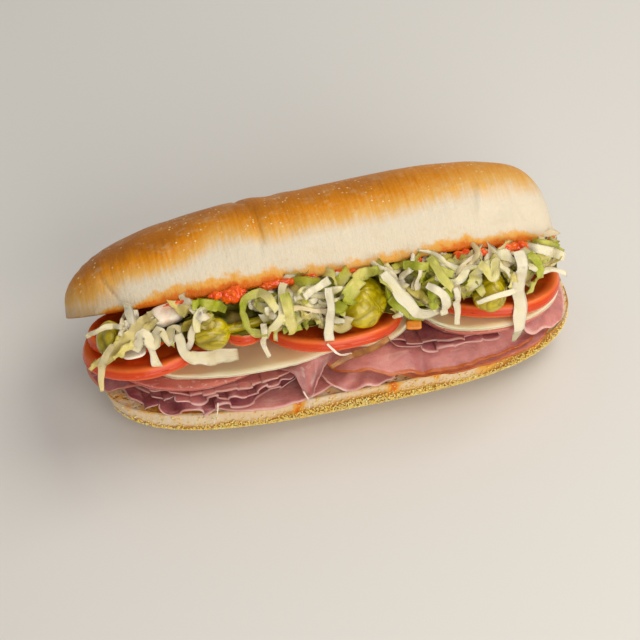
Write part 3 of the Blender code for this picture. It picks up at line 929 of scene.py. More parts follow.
@dataclass
class Crown:
    """The upper half of the roll, tipped back about its rear cut edge."""

    opening: float = 46.0
    hinge_y: float = 34.0
    hinge_z: float = 20.35
    shift_x: float = -8.0
    half: LoafHalf = field(
        default_factory=lambda: LoafHalf(101.5, 35, 35.5, 1.5, (2.7, 4.3), 2.3, Side.UP)
    )
    finish: BreadFinish = BreadFinish("golden_crust")

    def relief(self, rings: Array) -> Array:
        """How far the crust stands out, in millimetres.

        It swells gently, has stretch marks across its shoulders, two creases over the top, and a
        pressed place near its +X end.
        """
        x, y, z = np.moveaxis(rings, -1, 0)
        swell = 0.55 * ripples(rings, 52, 3) + 0.22 * ripples(rings, 17, 4)
        marks = 0.16 * ripples(np.stack([x * 5, z], axis=-1), 14, 6) * hump((z - 17) / 14)
        folds = 0.35 * np.sin(0.42 * (x + 8 + 0.10 * y)) * hump((x + 14) / 24) * smooth_step((z - 12) / 12)
        pucker = -0.5 * hump((x - 84 + 0.3 * (z - 10)) / 1.2) * hump((z - 11) / 6) * (y < 0)
        pucker = pucker - 0.6 * hump((x - 90 - 0.5 * (z - 6)) / 1.1) * hump((z - 7) / 4) * (y < 0)
        crease = -0.9 * hump((x + 26 + 0.12 * y + 1.5 * np.sin(z / 6)) / 1.7) * smooth_step((z - 10) / 9)
        dent = -1.6 * hump((x - 76) / 11) * hump((z - 15) / 10) * (y < 0)
        ridge = 1.1 * hump((x - 67 - 0.25 * (z - 12)) / 2.6) * hump((z - 19) / 11) * (y < 0)
        crack = -0.8 * hump((x + 83 + 0.5 * (z - 8)) / 0.9) * hump((z - 9) / 8) * (y < 0)
        return swell - 0.6 + marks + folds + crease + dent + ridge + crack + pucker

    def build(self) -> None:
        """Make the crown."""
        rings, share, cut = self.half.rings()
        x, z = rings[..., 0], rings[..., 2]
        arc = arc_length(rings)
        out = self.half.outward(rings)
        edge = np.minimum(1, np.minimum(arc, np.abs(arc - arc[:, self.half.around - 1 : self.half.around])) / 5)
        rings = rings + out * (self.relief(rings) * (1 - cut) * (0.25 + 0.75 * edge))[..., None]
        pit = 0.5 * ripples(rings, 4.5, 8) + 0.5 * ripples(rings, 9, 9)
        rings[..., 2] += cut * (0.45 + 0.4 * pit) * hump(share * 2 - 1) ** 0.3
        high = z / self.half.height
        start = 0.27 + 0.07 * ripples(np.stack([x, z * 0.3], axis=-1), 34, 12)
        start = start - 0.26 * smooth_step((-x - 35) / 55) + 0.10 * hump((x - 62) / 34)
        rings[..., 2] -= end_droop(x + self.shift_x) * (1 - np.clip(high, 0, 1))
        brown = smooth_step((high - start) / 0.62)
        brown = brown * (0.82 - 0.22 * smooth_step((x - 25) / 60) + 0.10 * smooth_step((-x - 10) / 50))
        brown = brown + 0.20 * smooth_step((-x - 70) / 25) * (1 - brown)
        front = (share < 0.5) * (1 - cut)
        reach = 2.0 + 2.4 * smooth_step((x + 78) / 30) + 1.2 * ripples(np.stack([x, x * 0], axis=-1), 13, 15)
        reach = reach * (1 - 0.6 * smooth_step((x - 80) / 14)) + 2.0 * hump((x + 46) / 34)
        stain = np.clip(1.05 - arc / np.maximum(reach, 0.6) * 0.62, 0, 1) * front
        strength = 1 - 0.42 * smooth_step((x + 20) / 25) * smooth_step((56 - x) / 14)
        stain = stain * smooth_step((x + 92) / 8) * strength + 0.55 * cut * hump(share * 1.4 - 0.3)
        values = {
            "brown": brown,
            "crumb": cut,
            "stain": stain,
            "meal": 0.5 * (1 - cut) * np.clip(1 - arc / 5, 0, 1) * (ripples(rings, 16, 17) > -0.2),
        }
        flat = np.stack([rings[..., 0], arc], axis=-1)
        shape = tube(rings, values, flat)
        turned = shape.moved(shift=(0, -self.half.half_width, 0)).moved(
            turn_matrix((-self.opening, 0, 0)), (self.shift_x, self.hinge_y, self.hinge_z)
        )
        add_piece("crown", turned, self.finish.make(), ["roll_top"])


@dataclass
class Heel:
    """The lower half of the roll, flat underneath, with cornmeal on its foot."""

    thickness: float = 20.0
    half: LoafHalf = field(
        default_factory=lambda: LoafHalf(100, 35.5, 21.2, 0.0, (3.0, 3.0), 3.6, Side.DOWN)
    )
    finish: BreadFinish = BreadFinish("pale_crust", golden=srgb(200, 136, 52), dark=srgb(150, 92, 34))

    def build(self) -> None:
        """Make the heel."""
        rings, share, cut = self.half.rings()
        rings = rings[:, ::-1]
        share = share[:, ::-1]
        cut = cut[:, ::-1]
        x, y = rings[..., 0], rings[..., 1]
        out = self.half.outward(rings)
        swell = 0.5 * ripples(rings, 40, 23) + 0.2 * ripples(rings, 12, 24) - 0.5
        rings = rings + out * (swell * (1 - cut))[..., None] * np.array([1, 1, 0.6])
        pit = 0.5 * ripples(rings, 4.5, 28) + 0.5 * ripples(rings, 9, 29)
        rings[..., 2] += cut * (-0.4 + 0.35 * pit)
        rings[..., 2] = np.maximum(rings[..., 2], -self.thickness)
        rings[..., 2] += self.thickness
        z = rings[..., 2]
        height = 8 + 2.5 * ripples(rings, 19, 31) + 4 * hump((x - 5) / 50) + 6 * smooth_step((x - 50) / 30)
        low = 1 - smooth_step((z - height) / 5)
        brown = 0.2 + 0.25 * low + 0.6 * smooth_step((x - 45) / 35)
        drips = np.zeros_like(x)
        wander = 1.4 * ripples(rings, 7, 33)
        for place, width, run in ((-24, 4.2, 14), (16, 5.0, 17), (34, 2.6, 8), (58, 9, 9), (79, 5, 8)):
            across = hump((x + wander - place) / (width * (0.55 + 0.45 * np.clip(z / 20, 0, 1))))
            drips = np.maximum(drips, across**0.7 * smooth_step((z - 20 + run) / 7))
        stain = drips * (y < 0) * (1 - cut) * 0.8
        stain = np.maximum(stain, 0.4 * (1 - cut) * smooth_step((z - 15.5) / 5) * (y < 0))
        oily = hump((x + 72) / 26) * hump((y + 26) / 22)
        stain = np.maximum(stain, cut * np.maximum(0.28, 0.8 * oily))
        values = {"brown": brown * (1 - cut), "crumb": cut, "stain": stain, "meal": 0.85 * low * (1 - cut)}
        flat = np.stack([rings[..., 0], arc_length(rings)], axis=-1)
        shape = tube(rings, values, flat)
        add_piece("heel", shape, self.finish.make(), ["roll_bottom"])


@dataclass
class Cornmeal:
    """Loose grains of cornmeal on the heel's foot and sides."""

    count: int = 14000
    size: Tuple[float, float] = (0.28, 0.58)
    seed: int = 41

    def build(self) -> None:
        """Scatter the grains over the heel's skin as one mesh of small eight-sided grains."""
        rng = np.random.default_rng(self.seed)
        s = rng.uniform(-0.995, 0.995, self.count)
        spread = (1 - np.abs(s) ** 3) ** (1 / 3)
        fall = 20 * rng.random(self.count) ** 0.75
        front = np.where(rng.random(self.count) < 0.6, -1, 1)
        deep = np.clip(fall / (21.2 * spread), 0, 1) ** 3.6
        y = front * 35.1 * spread * (1 - deep) ** (1 / 3.6)
        z = 20 - fall
        x = 99.4 * s
        middle_rings = np.stack([x, y, z - 20], axis=-1)
        dense = 8 + 2.5 * ripples(middle_rings, 19, 31) + 4 * hump((x - 5) / 50) + 6 * smooth_step((x - 50) / 30)
        thin = 0.08 + 0.85 * (1 - smooth_step((z - dense) / 6))
        keep = (z > 0.4) & (fall < 20.8 * spread) & (rng.random(self.count) < thin)
        middles = np.stack([x, y, z], axis=-1)[keep]
        corners = np.array([[1, 0, 0], [-1, 0, 0], [0, 1, 0], [0, -1, 0], [0, 0, 1], [0, 0, -1]], float)
        faces = np.array(
            [[0, 2, 4], [2, 1, 4], [1, 3, 4], [3, 0, 4], [2, 0, 5], [1, 2, 5], [3, 1, 5], [0, 3, 5]]
        )
        count = len(middles)
        sizes = rng.uniform(*self.size, size=(count, 1, 1)) * rng.uniform(0.6, 1.2, size=(count, 6, 1))
        spin = rng.uniform(0, 2 * np.pi, count)
        cosine, sine = np.cos(spin), np.sin(spin)
        zero, one = np.zeros(count), np.ones(count)
        turns = np.stack([cosine, -sine, zero, sine, cosine, zero, zero, zero, one], axis=-1).reshape(-1, 3, 3)
        points = middles[:, None] + np.einsum("nij,kj->nki", turns, corners) * sizes
        points[..., 2] = np.maximum(points[..., 2], 0.02)
        tris = (faces[None] + 6 * np.arange(count)[:, None, None]).reshape(-1, 3)
        shape = Shape(points.reshape(-1, 3), np.zeros((0, 4), int), tris)
        finish = PlainFoodFinish("cornmeal_grain", srgb(250, 200, 84), srgb(255, 232, 150), 2.0, 0.3, 0.1)
        add_piece("cornmeal", shape, finish.make())


# ---------------------------------------------------------------- the pile of slices


class Pile:
    """The height of everything laid on the heel so far, on a plan grid, in millimetres."""

    step = 0.5
    lean = -0.25
    blur = 2
    level = 35.0
    level_y = -35.5

    def __init__(self) -> None:
        """Start with the heel's level top, which falls away beyond its edge."""
        self.x = np.arange(-126, 126 + self.step, self.step)
        self.y = np.arange(-60, 60 + self.step, self.step)
        self.plan = np.meshgrid(self.x, self.y, indexing="ij")
        x, y = self.plan
        edge = (np.abs(x / 100) ** 3 + np.abs(y / 35.5) ** 3) ** (1 / 3)
        self.top = 20 - 1.1 * np.maximum(edge - 1, 0) * 35.5

    def cover(self, reach: float, blur: Optional[int] = None) -> Array:
        """A smooth surface that lies on the pile and never dips below it.

        It is the greatest height within reach and the width of two means, and then the two means. The
        pile's usual slope is taken off first, so that a steady slope isn't lifted.
        """
        lean = self.lean * self.plan[1]
        field_ = self.top - lean
        blur = blur or self.blur
        widest = math.ceil(reach / self.step) + 2 * blur
        for window, pick in ((widest, np.max), (blur, np.mean), (blur, np.mean)):
            for axis in (0, 1):
                field_ = pick([np.roll(field_, k, axis) for k in range(-window, window + 1)], axis=0)
        return field_ + lean

    def sample(self, values: Array, x: Array, y: Array) -> Array:
        """Bilinear value of a field at plan positions."""
        u = (x - self.x[0]) / self.step
        v = (y - self.y[0]) / self.step
        i = np.clip(np.floor(u).astype(int), 0, len(self.x) - 2)
        j = np.clip(np.floor(v).astype(int), 0, len(self.y) - 2)
        s, t = u - i, v - j
        low = values[i, j] * (1 - s) + values[i + 1, j] * s
        high = values[i, j + 1] * (1 - s) + values[i + 1, j + 1] * s
        return low * (1 - t) + high * t

    def receive(self, points: Array) -> None:
        """Raise the pile to the given points."""
        i = np.clip(np.round((points[:, 0] - self.x[0]) / self.step).astype(int), 0, len(self.x) - 1)
        j = np.clip(np.round((points[:, 1] - self.y[0]) / self.step).astype(int), 0, len(self.y) - 1)
        np.maximum.at(self.top, (i, j), points[:, 2])


@dataclass
class Slice:
    """One or more thin slices laid together over the pile, in millimetres.

    folds is the height of their ruffles, wave the ruffles' length and phase their start in radians.
    arch is the height of a doubled slice's fold. rounding is 0.5 for an oval and less for a squarer
    outline. crumple is how uneven it is all over. plies is how many slices lie together. ragged is how uneven their front edge is, and
    frill the height of the small waves along it. tone is how deep their colour is.
    """

    name: str
    x: float
    y: float
    half_x: float
    half_y: float
    thickness: float = 0.7
    folds: float = 0.0
    wave: float = 26.0
    phase: float = 0.0
    arch: float = 0.0
    rounding: float = 0.5
    plies: int = 1
    ragged: float = 0.6
    frill: float = 0.3
    tone: float = 0.4
    rind: float = 0.0
    fat: float = 0.0
    seed: int = 0
    meander: float = 0.0
    stiffness: int = 2
    point: float = 0.0
    skew: float = 0.0
    crumple: float = 0.0

    def turns(self, x: Array) -> Array:
        """How far its ruffles have come at a place along X, in radians and unevenly."""
        turns = 2 * np.pi * (x - self.x) / self.wave + self.phase
        return turns + 0.7 * np.sin(0.57 * turns + 1.3)

    def ruffle(self, x: Array, y: Array) -> Array:
        """Waves along X that grow from the slice's back to its front edge."""
        front = smooth_step((self.y + 0.45 * self.half_y - y) / (1.25 * self.half_y))
        plan = np.stack([x, y * 0.5], axis=-1)
        uneven = 0.75 + 0.35 * ripples(plan, 19, 120 + self.seed)
        slant = 0.10 * (y - self.y) * np.sin(x / 17 + self.seed)
        waves = self.folds * uneven * (0.5 + 0.5 * np.sin(self.turns(x) + slant))
        small = self.crumple * (0.5 + ripples(plan, 6.5, 140 + self.seed))
        return front * (waves + np.maximum(small, 0))

    def frills(self, x: Array, y: Array) -> Array:
        """Small waves close to the front edge."""
        front = smooth_step((self.y - 0.35 * self.half_y - y) / (0.6 * self.half_y))
        plan = np.stack([x, y * 0.35], axis=-1)
        return self.frill * front * (1 + ripples(plan, 8.5, 100 + self.seed)) * 0.8

    def arching(self, x: Array, y: Array) -> Array:
        """The rounded fold of a doubled slice, just behind its front edge."""
        share = np.clip(1 - ((x - self.x) / self.half_x) ** 2, 0, 1)
        front_edge = self.y - self.half_y * np.sqrt(share)
        rise = smooth_step((y - front_edge) / 11)
        fall = smooth_step((self.y + self.half_y - y) / 45)
        return self.arch * rise * fall * smooth_step(2.5 * share)

    def lay(self, pile: Pile) -> Shape:
        """Drape one slice over the pile.

        The slice is a grid squeezed into an oval, whose height is the pile's cover and the part of
        its own folds that there is room for. A meander moves it to and fro along X twice as fast as
        its folds rise, so that they lean over.
        """
        cover = pile.cover(1.0, self.stiffness) + 0.06
        level = pile.level + pile.lean * (pile.plan[1] - pile.level_y)
        room = np.maximum(level - self.thickness - cover, 0)
        rows = int(np.clip(2 * self.half_x / (0.5 if self.meander else 0.9), 30, 170))
        u = np.sin(np.linspace(-1, 1, rows) * np.pi / 2 * 0.82) / math.sin(np.pi / 2 * 0.82)
        v = -1 + 2 * np.linspace(0, 1, 34) ** 1.6
        u, v = np.meshgrid(u, v, indexing="ij")
        front = smooth_step(-v)
        wide = self.half_x * u * np.sqrt(1 - self.rounding * v * v)
        x = self.x + wide * (1 - self.point * np.clip((-v - 0.25) / 0.75, 0, 1) ** 1.6) + self.skew * front
        y = self.y + self.half_y * v * np.sqrt(1 - self.rounding * u * u)
        plan = np.stack([x, y], axis=-1)
        y = y + self.ragged * front * (ripples(plan, 15, 200 + self.seed) + 0.5 * ripples(plan, 6, 300 + self.seed))
        folds = self.ruffle(x, y) + self.arching(x, y) + self.frills(x, y)
        x = x + self.meander * smooth_step(-v * 1.4) * np.sin(2 * self.turns(x) + 0.6)
        space = pile.sample(room, x, y) + 0.8
        z = pile.sample(cover, x, y) + space * np.tanh(folds / space)
        rim = np.minimum((1 - np.abs(u)) * self.half_x, (1 - np.abs(v)) * self.half_y)
        full = 0.18 + 0.82 * np.sqrt(np.clip(rim / (0.9 * self.thickness), 0, 1))
        middle = np.stack([x, y, z + self.thickness / 2], axis=-1)
        out = np.cross(np.gradient(middle, axis=0), np.gradient(middle, axis=1))
        out /= np.linalg.norm(out, axis=-1, keepdims=True) + 1e-9
        half = (full * self.thickness / 2)[..., None] * out
        top, low = middle + half, middle - half
        values = {
            "edge": np.clip(rim / 6, 0, 1),
            "tone": np.full_like(x, self.tone),
            "rind": np.full_like(x, self.rind),
            "fat": self.fat * hump((rim - 3.0) / 2.2) * front,
        }
        pile.receive(denser(top, 3))
        return shell(top, low, values, np.stack([x, y], axis=-1))

    def build(self, pile: Pile, material: bpy.types.Material, slot: str) -> None:
        """Lay the slices and make them into one piece that stands for their CAD node."""
        rng = np.random.default_rng(700 + self.seed)
        shapes = []
        for ply in range(self.plies):
            shifted = replace(
                self,
                x=self.x + ply * rng.uniform(-3, 3),
                y=self.y + ply * rng.uniform(0.4, 1.6),
                phase=self.phase + ply * rng.uniform(1.5, 2.8),
                wave=self.wave * (1 + ply * rng.uniform(-0.12, 0.12)),
                tone=float(np.clip(self.tone + rng.uniform(-0.18, 0.18) * min(ply, 1), 0, 1)),
                seed=self.seed + 31 * ply,
            )
            shapes.append(shifted.lay(pile))
        add_piece("sliced_" + self.name, Shape.join(shapes), material, [self.name])


@dataclass
class ColdCuts:
    """Everything sliced thin: ham, salami and cheese, in the order in which it is laid."""

    ham: Sequence[Slice] = (
        Slice("ham_bottom_left", -33, -8.5, 40, 28.8, 1.1, rounding=0.5, tone=0.3, fat=0.2, seed=1),
        Slice(
            "ham_shaved_left_low", -53, -8, 40, 27.4, 0.6, folds=4.6, wave=14, ragged=1.4, frill=0.8,
            tone=0.95, seed=2, meander=1.3, crumple=0.9,
        ),
        Slice("ham_curl", 3, -14, 19, 23.3, 0.9, folds=4, wave=34, phase=0.6, rounding=0.4, ragged=0.9, tone=0.3, seed=3, crumple=0.4),
        Slice(
            "ham_shaved_left_mid", -50, -9, 38, 26.6, 0.6, folds=4, wave=10.5, phase=2.0, ragged=1.6,
            frill=0.8, tone=0.7, seed=4, meander=1.0, crumple=1.0,
        ),
        Slice("ham_left_end", -82, 1.5, 22, 20, 0.9, folds=2, wave=40, phase=0.5, tone=0.9, rind=0.5, seed=5),
        Slice(
            "ham_shaved_left_top", -50, -8, 38, 26.8, 0.6, folds=4, wave=12.5, phase=4.2, ragged=1.6,
            frill=0.9, tone=0.5, fat=0.1, seed=6, meander=1.2, crumple=1.0,
        ),
        Slice("ham_bottom_right", 43, -8.5, 48, 28.5, 1.1, rounding=0.42, tone=0.25, rind=0.7, seed=7),
        Slice(
            "ham_long_right", 35, -8, 51, 29.5, 1.2, folds=1.2, wave=23, arch=5.5, rounding=0.4, tone=0.3,
            rind=1.0, seed=8, crumple=0.7,
        ),
        Slice("ham_flap", -31, -10, 34, 27.5, 0.7, ragged=0.7, frill=1.0, tone=0.45, seed=9, point=0.95, skew=12, crumple=0.6),
        Slice(
            "ham_folded_right", 44, -8, 37, 25, 0.6, folds=6, wave=17, phase=1.4, plies=2, ragged=1.6,
            frill=0.9, tone=0.95, seed=10, meander=1.5, crumple=0.9,
        ),
        Slice("ham_right_end", 74.5, -3, 23, 26.5, 0.8, folds=1.5, wave=12, ragged=0.9, tone=0.35, fat=0.5, seed=11, crumple=0.7),
    )
    salami: Sequence[Slice] = (
        Slice("salami_left", -58, -6.5, 35, 25.5, 1.9, ragged=0.2, frill=0.0, seed=12, stiffness=7),
        Slice("salami_right", 61, -8, 31, 26, 1.9, ragged=0.2, frill=0.0, seed=13, stiffness=7),
    )
    cheese: Sequence[Slice] = (
        Slice("cheese_centre", 10, -6, 21, 22, 2.3, ragged=0.2, frill=0.0, seed=14, stiffness=9),
        Slice("cheese_left", -33, -8, 51, 24, 2.3, rounding=0.45, ragged=0.3, frill=0.0, seed=15, stiffness=10),
        Slice("cheese_right", 60, -8, 32.5, 26.6, 2.3, ragged=0.2, frill=0.0, seed=16, stiffness=9),
    )

    def build(self, pile: Pile) -> None:
        """Lay all the slices."""
        ham = MeatFinish("sliced_ham").make()
        for piece in self.ham:
            piece.build(pile, ham, "ham")
        salami = SalamiFinish().make()
        for piece in self.salami:
            piece.build(pile, salami, "salami")
        cheese = CheeseFinish().make()
        for piece in self.cheese:
            piece.build(pile, cheese, "cheese")


# ---------------------------------------------------------------- tomato, peppers and onion


@dataclass
class TomatoSlice:
    """A stiff round slice of tomato, tipped by slopes along X and Y."""

    node: str
    half_x: float
    half_y: float
    slopes: Tuple[float, float]
    thickness: float = 5.6
    seed: int = 0
    chambers: int = 6
    drop: float = 5.0
    shift: Tuple[float, float, float] = (0, 0, 0)

    def build(self, pile: Pile, material: bpy.types.Material) -> None:
        """Make the slice: a disc with a rounded rim, sunk a little over its seed chambers."""
        t = np.linspace(-1, 1, 64)
        line = np.sin(t * np.pi / 2)
        u, v = np.meshgrid(line, line, indexing="ij")
        x = u * np.sqrt(1 - 0.5 * v * v)
        y = v * np.sqrt(1 - 0.5 * u * u)
        radius = np.sqrt(x * x + y * y)
        angle = np.arctan2(y, x)
        uneven = 1 + 0.022 * np.cos(3 * angle + self.seed) + 0.012 * np.cos(5 * angle + 2 * self.seed)
        spoke = np.cos(self.chambers * angle + 1.7 * self.seed + 0.5 * np.sin(2 * angle))
        gel = smooth_step((spoke + 0.35) / 0.6) * smooth_step((radius - 0.26) / 0.1) * smooth_step((0.82 - radius) / 0.08)
        half = self.thickness / 2
        rim = half * np.sqrt(np.clip(1 - (np.clip(radius - 0.93, 0, 1) / 0.07) ** 2, 0, 1))
        sunk = 0.55 * gel + 0.25 * smooth_step((0.9 - radius) / 0.1)
        plan_x, plan_y = x * self.half_x * uneven * 0.985, y * self.half_y * uneven * 0.985
        top = np.stack([plan_x, plan_y, rim - sunk], axis=-1)
        low = np.stack([plan_x, plan_y, -rim], axis=-1)
        shape = shell(top, low, {"radius": radius, "gel": gel}, np.stack([plan_x, plan_y], axis=-1))
        normal = np.array([-self.slopes[0], -self.slopes[1], 1.0])
        normal /= np.linalg.norm(normal)
        along = np.array([1.0, 0, 0]) - normal[0] * normal
        along /= np.linalg.norm(along)
        frame_ = np.stack([along, np.cross(normal, along), normal], axis=1)
        placed = shape.moved(frame_).centred_in(self.node).moved(shift=self.shift).resting(pile, self.drop)
        add_piece("cut_" + self.node, placed, material, [self.node])


@dataclass
class PepperPod:
    """A pickled pepper: a lobed, creased pod along X, drawn out into a stem at +X where it has one."""

    node: str
    turns: Tuple[float, float, float]
    length: float
    radius: float
    lobes: int
    stem: float = 0.0
    seed: int = 0
    shift: Tuple[float, float, float] = (0, 0, 0)

    def build(self, pile: Pile, material: bpy.types.Material) -> None:
        """Make the pod: rings whose radius is a full oval times lobes and creases."""
        share = 0.66 if self.stem else 1.0
        run = np.linspace(0, 1, 96)[:, None]
        run = np.clip(run, 1e-4, 1 - 1e-4)
        turn = np.linspace(0, 2 * np.pi, 64, endpoint=False)[None]
        t = run / share
        full = np.sqrt(np.clip(1 - np.abs(2 * np.clip(t, 0, 1) - 1) ** 2.4, 0, 1))
        sphere = np.stack(np.broadcast_arrays(t * 2, np.cos(turn), np.sin(turn)), axis=-1)
        lobe = np.cos(self.lobes * turn + 2 * t + 0.8 * ripples(sphere, 2.4, 450 + self.seed))
        deep = smooth_step(0.5 + ripples(sphere, 2.2, 460 + self.seed))
        crease = np.clip(-lobe, 0, 1) ** 5 * deep
        lobes = 1 + 0.035 * lobe - 0.13 * crease
        wrinkle = 1 + 0.08 * ripples(sphere, 1.3, 400 + self.seed) + 0.03 * ripples(sphere, 0.6, 500 + self.seed)
        size = self.radius * lobes * full * wrinkle * 0.98
        place = self.length / 2 * (2 * t - 1) + 0 * turn
        if self.stem:
            thin = 1.9 * (1 + 0.12 * np.cos(3 * turn)) * np.sqrt(np.clip((1 - run) / 0.03, 0, 1))
            size = np.where(t > 0.5, np.maximum(size, thin), size)
            place = np.where(t > 1, self.length / 2 + self.stem * (run - share) / (1 - share), place)
        rings = np.stack([place, size * np.cos(turn), size * np.sin(turn)], axis=-1)
        # The crease values let the material paint shade into the creases.
        shape = tube(rings, {"crease": np.broadcast_to(crease, place.shape)})
        placed = shape.moved(turn_matrix(self.turns)).centred_in(self.node).moved(shift=self.shift).resting(pile)
        add_piece("pickled_" + self.node, placed, material, [self.node])


@dataclass
class Lump:
    """A rounded, uneven chunk of a given size, turned in degrees about X, Y and Z."""

    size: Tuple[float, float, float]
    turns: Tuple[float, float, float] = (0, 0, 0)
    squareness: float = 3.2
    uneven: float = 0.07
    seed: int = 0
    rows: int = 26

    def shape(self) -> Shape:
        """A sphere pushed out towards a block, with an uneven surface."""
        turn = np.linspace(1e-3, np.pi - 1e-3, self.rows)[:, None]
        round_ = np.linspace(0, 2 * np.pi, self.rows, endpoint=False)[None]
        ball = np.stack(
            np.broadcast_arrays(-np.cos(turn), np.sin(turn) * np.cos(round_), np.sin(turn) * np.sin(round_)),
            axis=-1,
        )
        reach = (np.abs(ball) ** self.squareness).sum(axis=-1, keepdims=True) ** (1 / self.squareness)
        uneven = 1 + self.uneven * ripples(ball, 1.3, 600 + self.seed)[..., None]
        rings = ball / reach * np.array(self.size) / 2 * uneven
        return tube(rings, {}).moved(turn_matrix(self.turns))


@dataclass
class Toppings:
    """Tomato, peppers and onion, in the places that their CAD nodes have."""

    tomatoes: Sequence[TomatoSlice] = (
        TomatoSlice("tomato_left", 27, 24, (0.06, -0.28), seed=1, drop=1.0, shift=(0, 1.5, 0)),
        TomatoSlice("tomato_centre", 29.5, 23.5, (-0.03, -0.28), seed=2, drop=3.0, shift=(-3, -2.0, 0)),
        TomatoSlice("tomato_right", 28, 23, (-0.03, -0.3), seed=3),
        TomatoSlice("tomato_left_end", 18, 14, (0.05, -0.28), seed=4, drop=0.5, shift=(0, 3, 0)),
        TomatoSlice("tomato_left_inner", 10.5, 13, (0.0, -0.28), seed=5),
    )
    peppers: Sequence[PepperPod] = (
        PepperPod("pepper_left_end", (0, 0, 80), 16, 5.4, 3, seed=1),
        PepperPod("pepper_left", (0, -6, 0), 15, 6.4, 3, stem=18, seed=2),
        PepperPod("pepper_centre", (20, 0, 45), 21.5, 9.2, 4, seed=3, shift=(-1.5, -0.5, -1)),
        PepperPod("pepper_right", (0, 0, 75), 18, 7.4, 3, seed=4, shift=(-1, -2, -1)),
    )

    def build(self, pile: Pile) -> None:
        """Make the toppings."""
        flesh = TomatoFinish("cut_tomato").make()
        for piece in self.tomatoes:
            piece.build(pile, flesh)
        onion = PlainFoodFinish("cut_onion", srgb(236, 210, 184), srgb(250, 238, 222), 5, 0.3, 0.2, 0.4).make()
        disc = Lump((9.8, 10.6, 2.4), (-15.6, -3.4, 0), 3.0, 0.04, 2).shape().centred_in("onion_disc").resting(pile)
        add_piece("onion_ring_slice", disc, onion, ["onion_disc"])
        skin = PepperFinish().make()
        for piece in self.peppers:
            piece.build(pile, skin)
        chunk = Lump((13, 8, 6.5), (20, 0, 10), 4.0, 0.06, 1).shape().centred_in("onion_chunk")
        chunk = chunk.moved(shift=(2.5, 1.5, 1.5))
        pile.receive(chunk.points)
        add_piece("diced_onion", chunk, onion, ["onion_chunk"])


# ---------------------------------------------------------------- lettuce


class Face:
    """The height of what is built so far above a plane that leans against the open side.

    Places on the plane are (a, b): a along the roll, and b up the slope. Heights are measured out of
    the plane, towards the front and up.
    """

    step = 1.0
    up_slope = np.array([0.0, math.sin(math.radians(45)), math.cos(math.radians(45))])
    out = np.array([0.0, -math.cos(math.radians(45)), math.sin(math.radians(45))])

    def __init__(self) -> None:
        """Start with nothing built."""
        self.a = np.arange(-115, 115 + self.step, self.step)
        self.b = np.arange(-40, 80 + self.step, self.step)
        self.height = np.full((len(self.a), len(self.b)), 5.0)

    def receive(self, points: Array) -> None:
        """Raise the heights to the given points."""
        i = np.round((points[:, 0] - self.a[0]) / self.step).astype(int)
        j = np.round((points @ self.up_slope - self.b[0]) / self.step).astype(int)
        inside = (i >= 0) & (i < len(self.a)) & (j >= 0) & (j < len(self.b))
        np.maximum.at(self.height, (i[inside], j[inside]), (points @ self.out)[inside])

    def smooth(self, window: int) -> None:
        """Close small gaps: the greatest height within a window, and then the mean of one."""
        grown = self.height
        for pick in (np.max, np.mean):
            for axis in (0, 1):
                grown = pick([np.roll(grown, k, axis) for k in range(-window, window + 1)], axis=0)
        self.height = np.maximum(self.height, grown)

    def at(self, a: Array, b: Array) -> Array:
        """Bilinear height at places on the plane."""
        u = np.clip((a - self.a[0]) / self.step, 0, len(self.a) - 1.001)
        v = np.clip((b - self.b[0]) / self.step, 0, len(self.b) - 1.001)
        i, j = np.floor(u).astype(int), np.floor(v).astype(int)
        s, t = u - i, v - j
        low = self.height[i, j] * (1 - s) + self.height[i + 1, j] * s
        high = self.height[i, j + 1] * (1 - s) + self.height[i + 1, j + 1] * s
        return low * (1 - t) + high * t

    def place(self, a: Array, b: Array, height: Array) -> Array:
        """The points at places on the plane and heights out of it."""
        along = np.array([1.0, 0, 0])
        return a[..., None] * along + b[..., None] * self.up_slope + height[..., None] * self.out


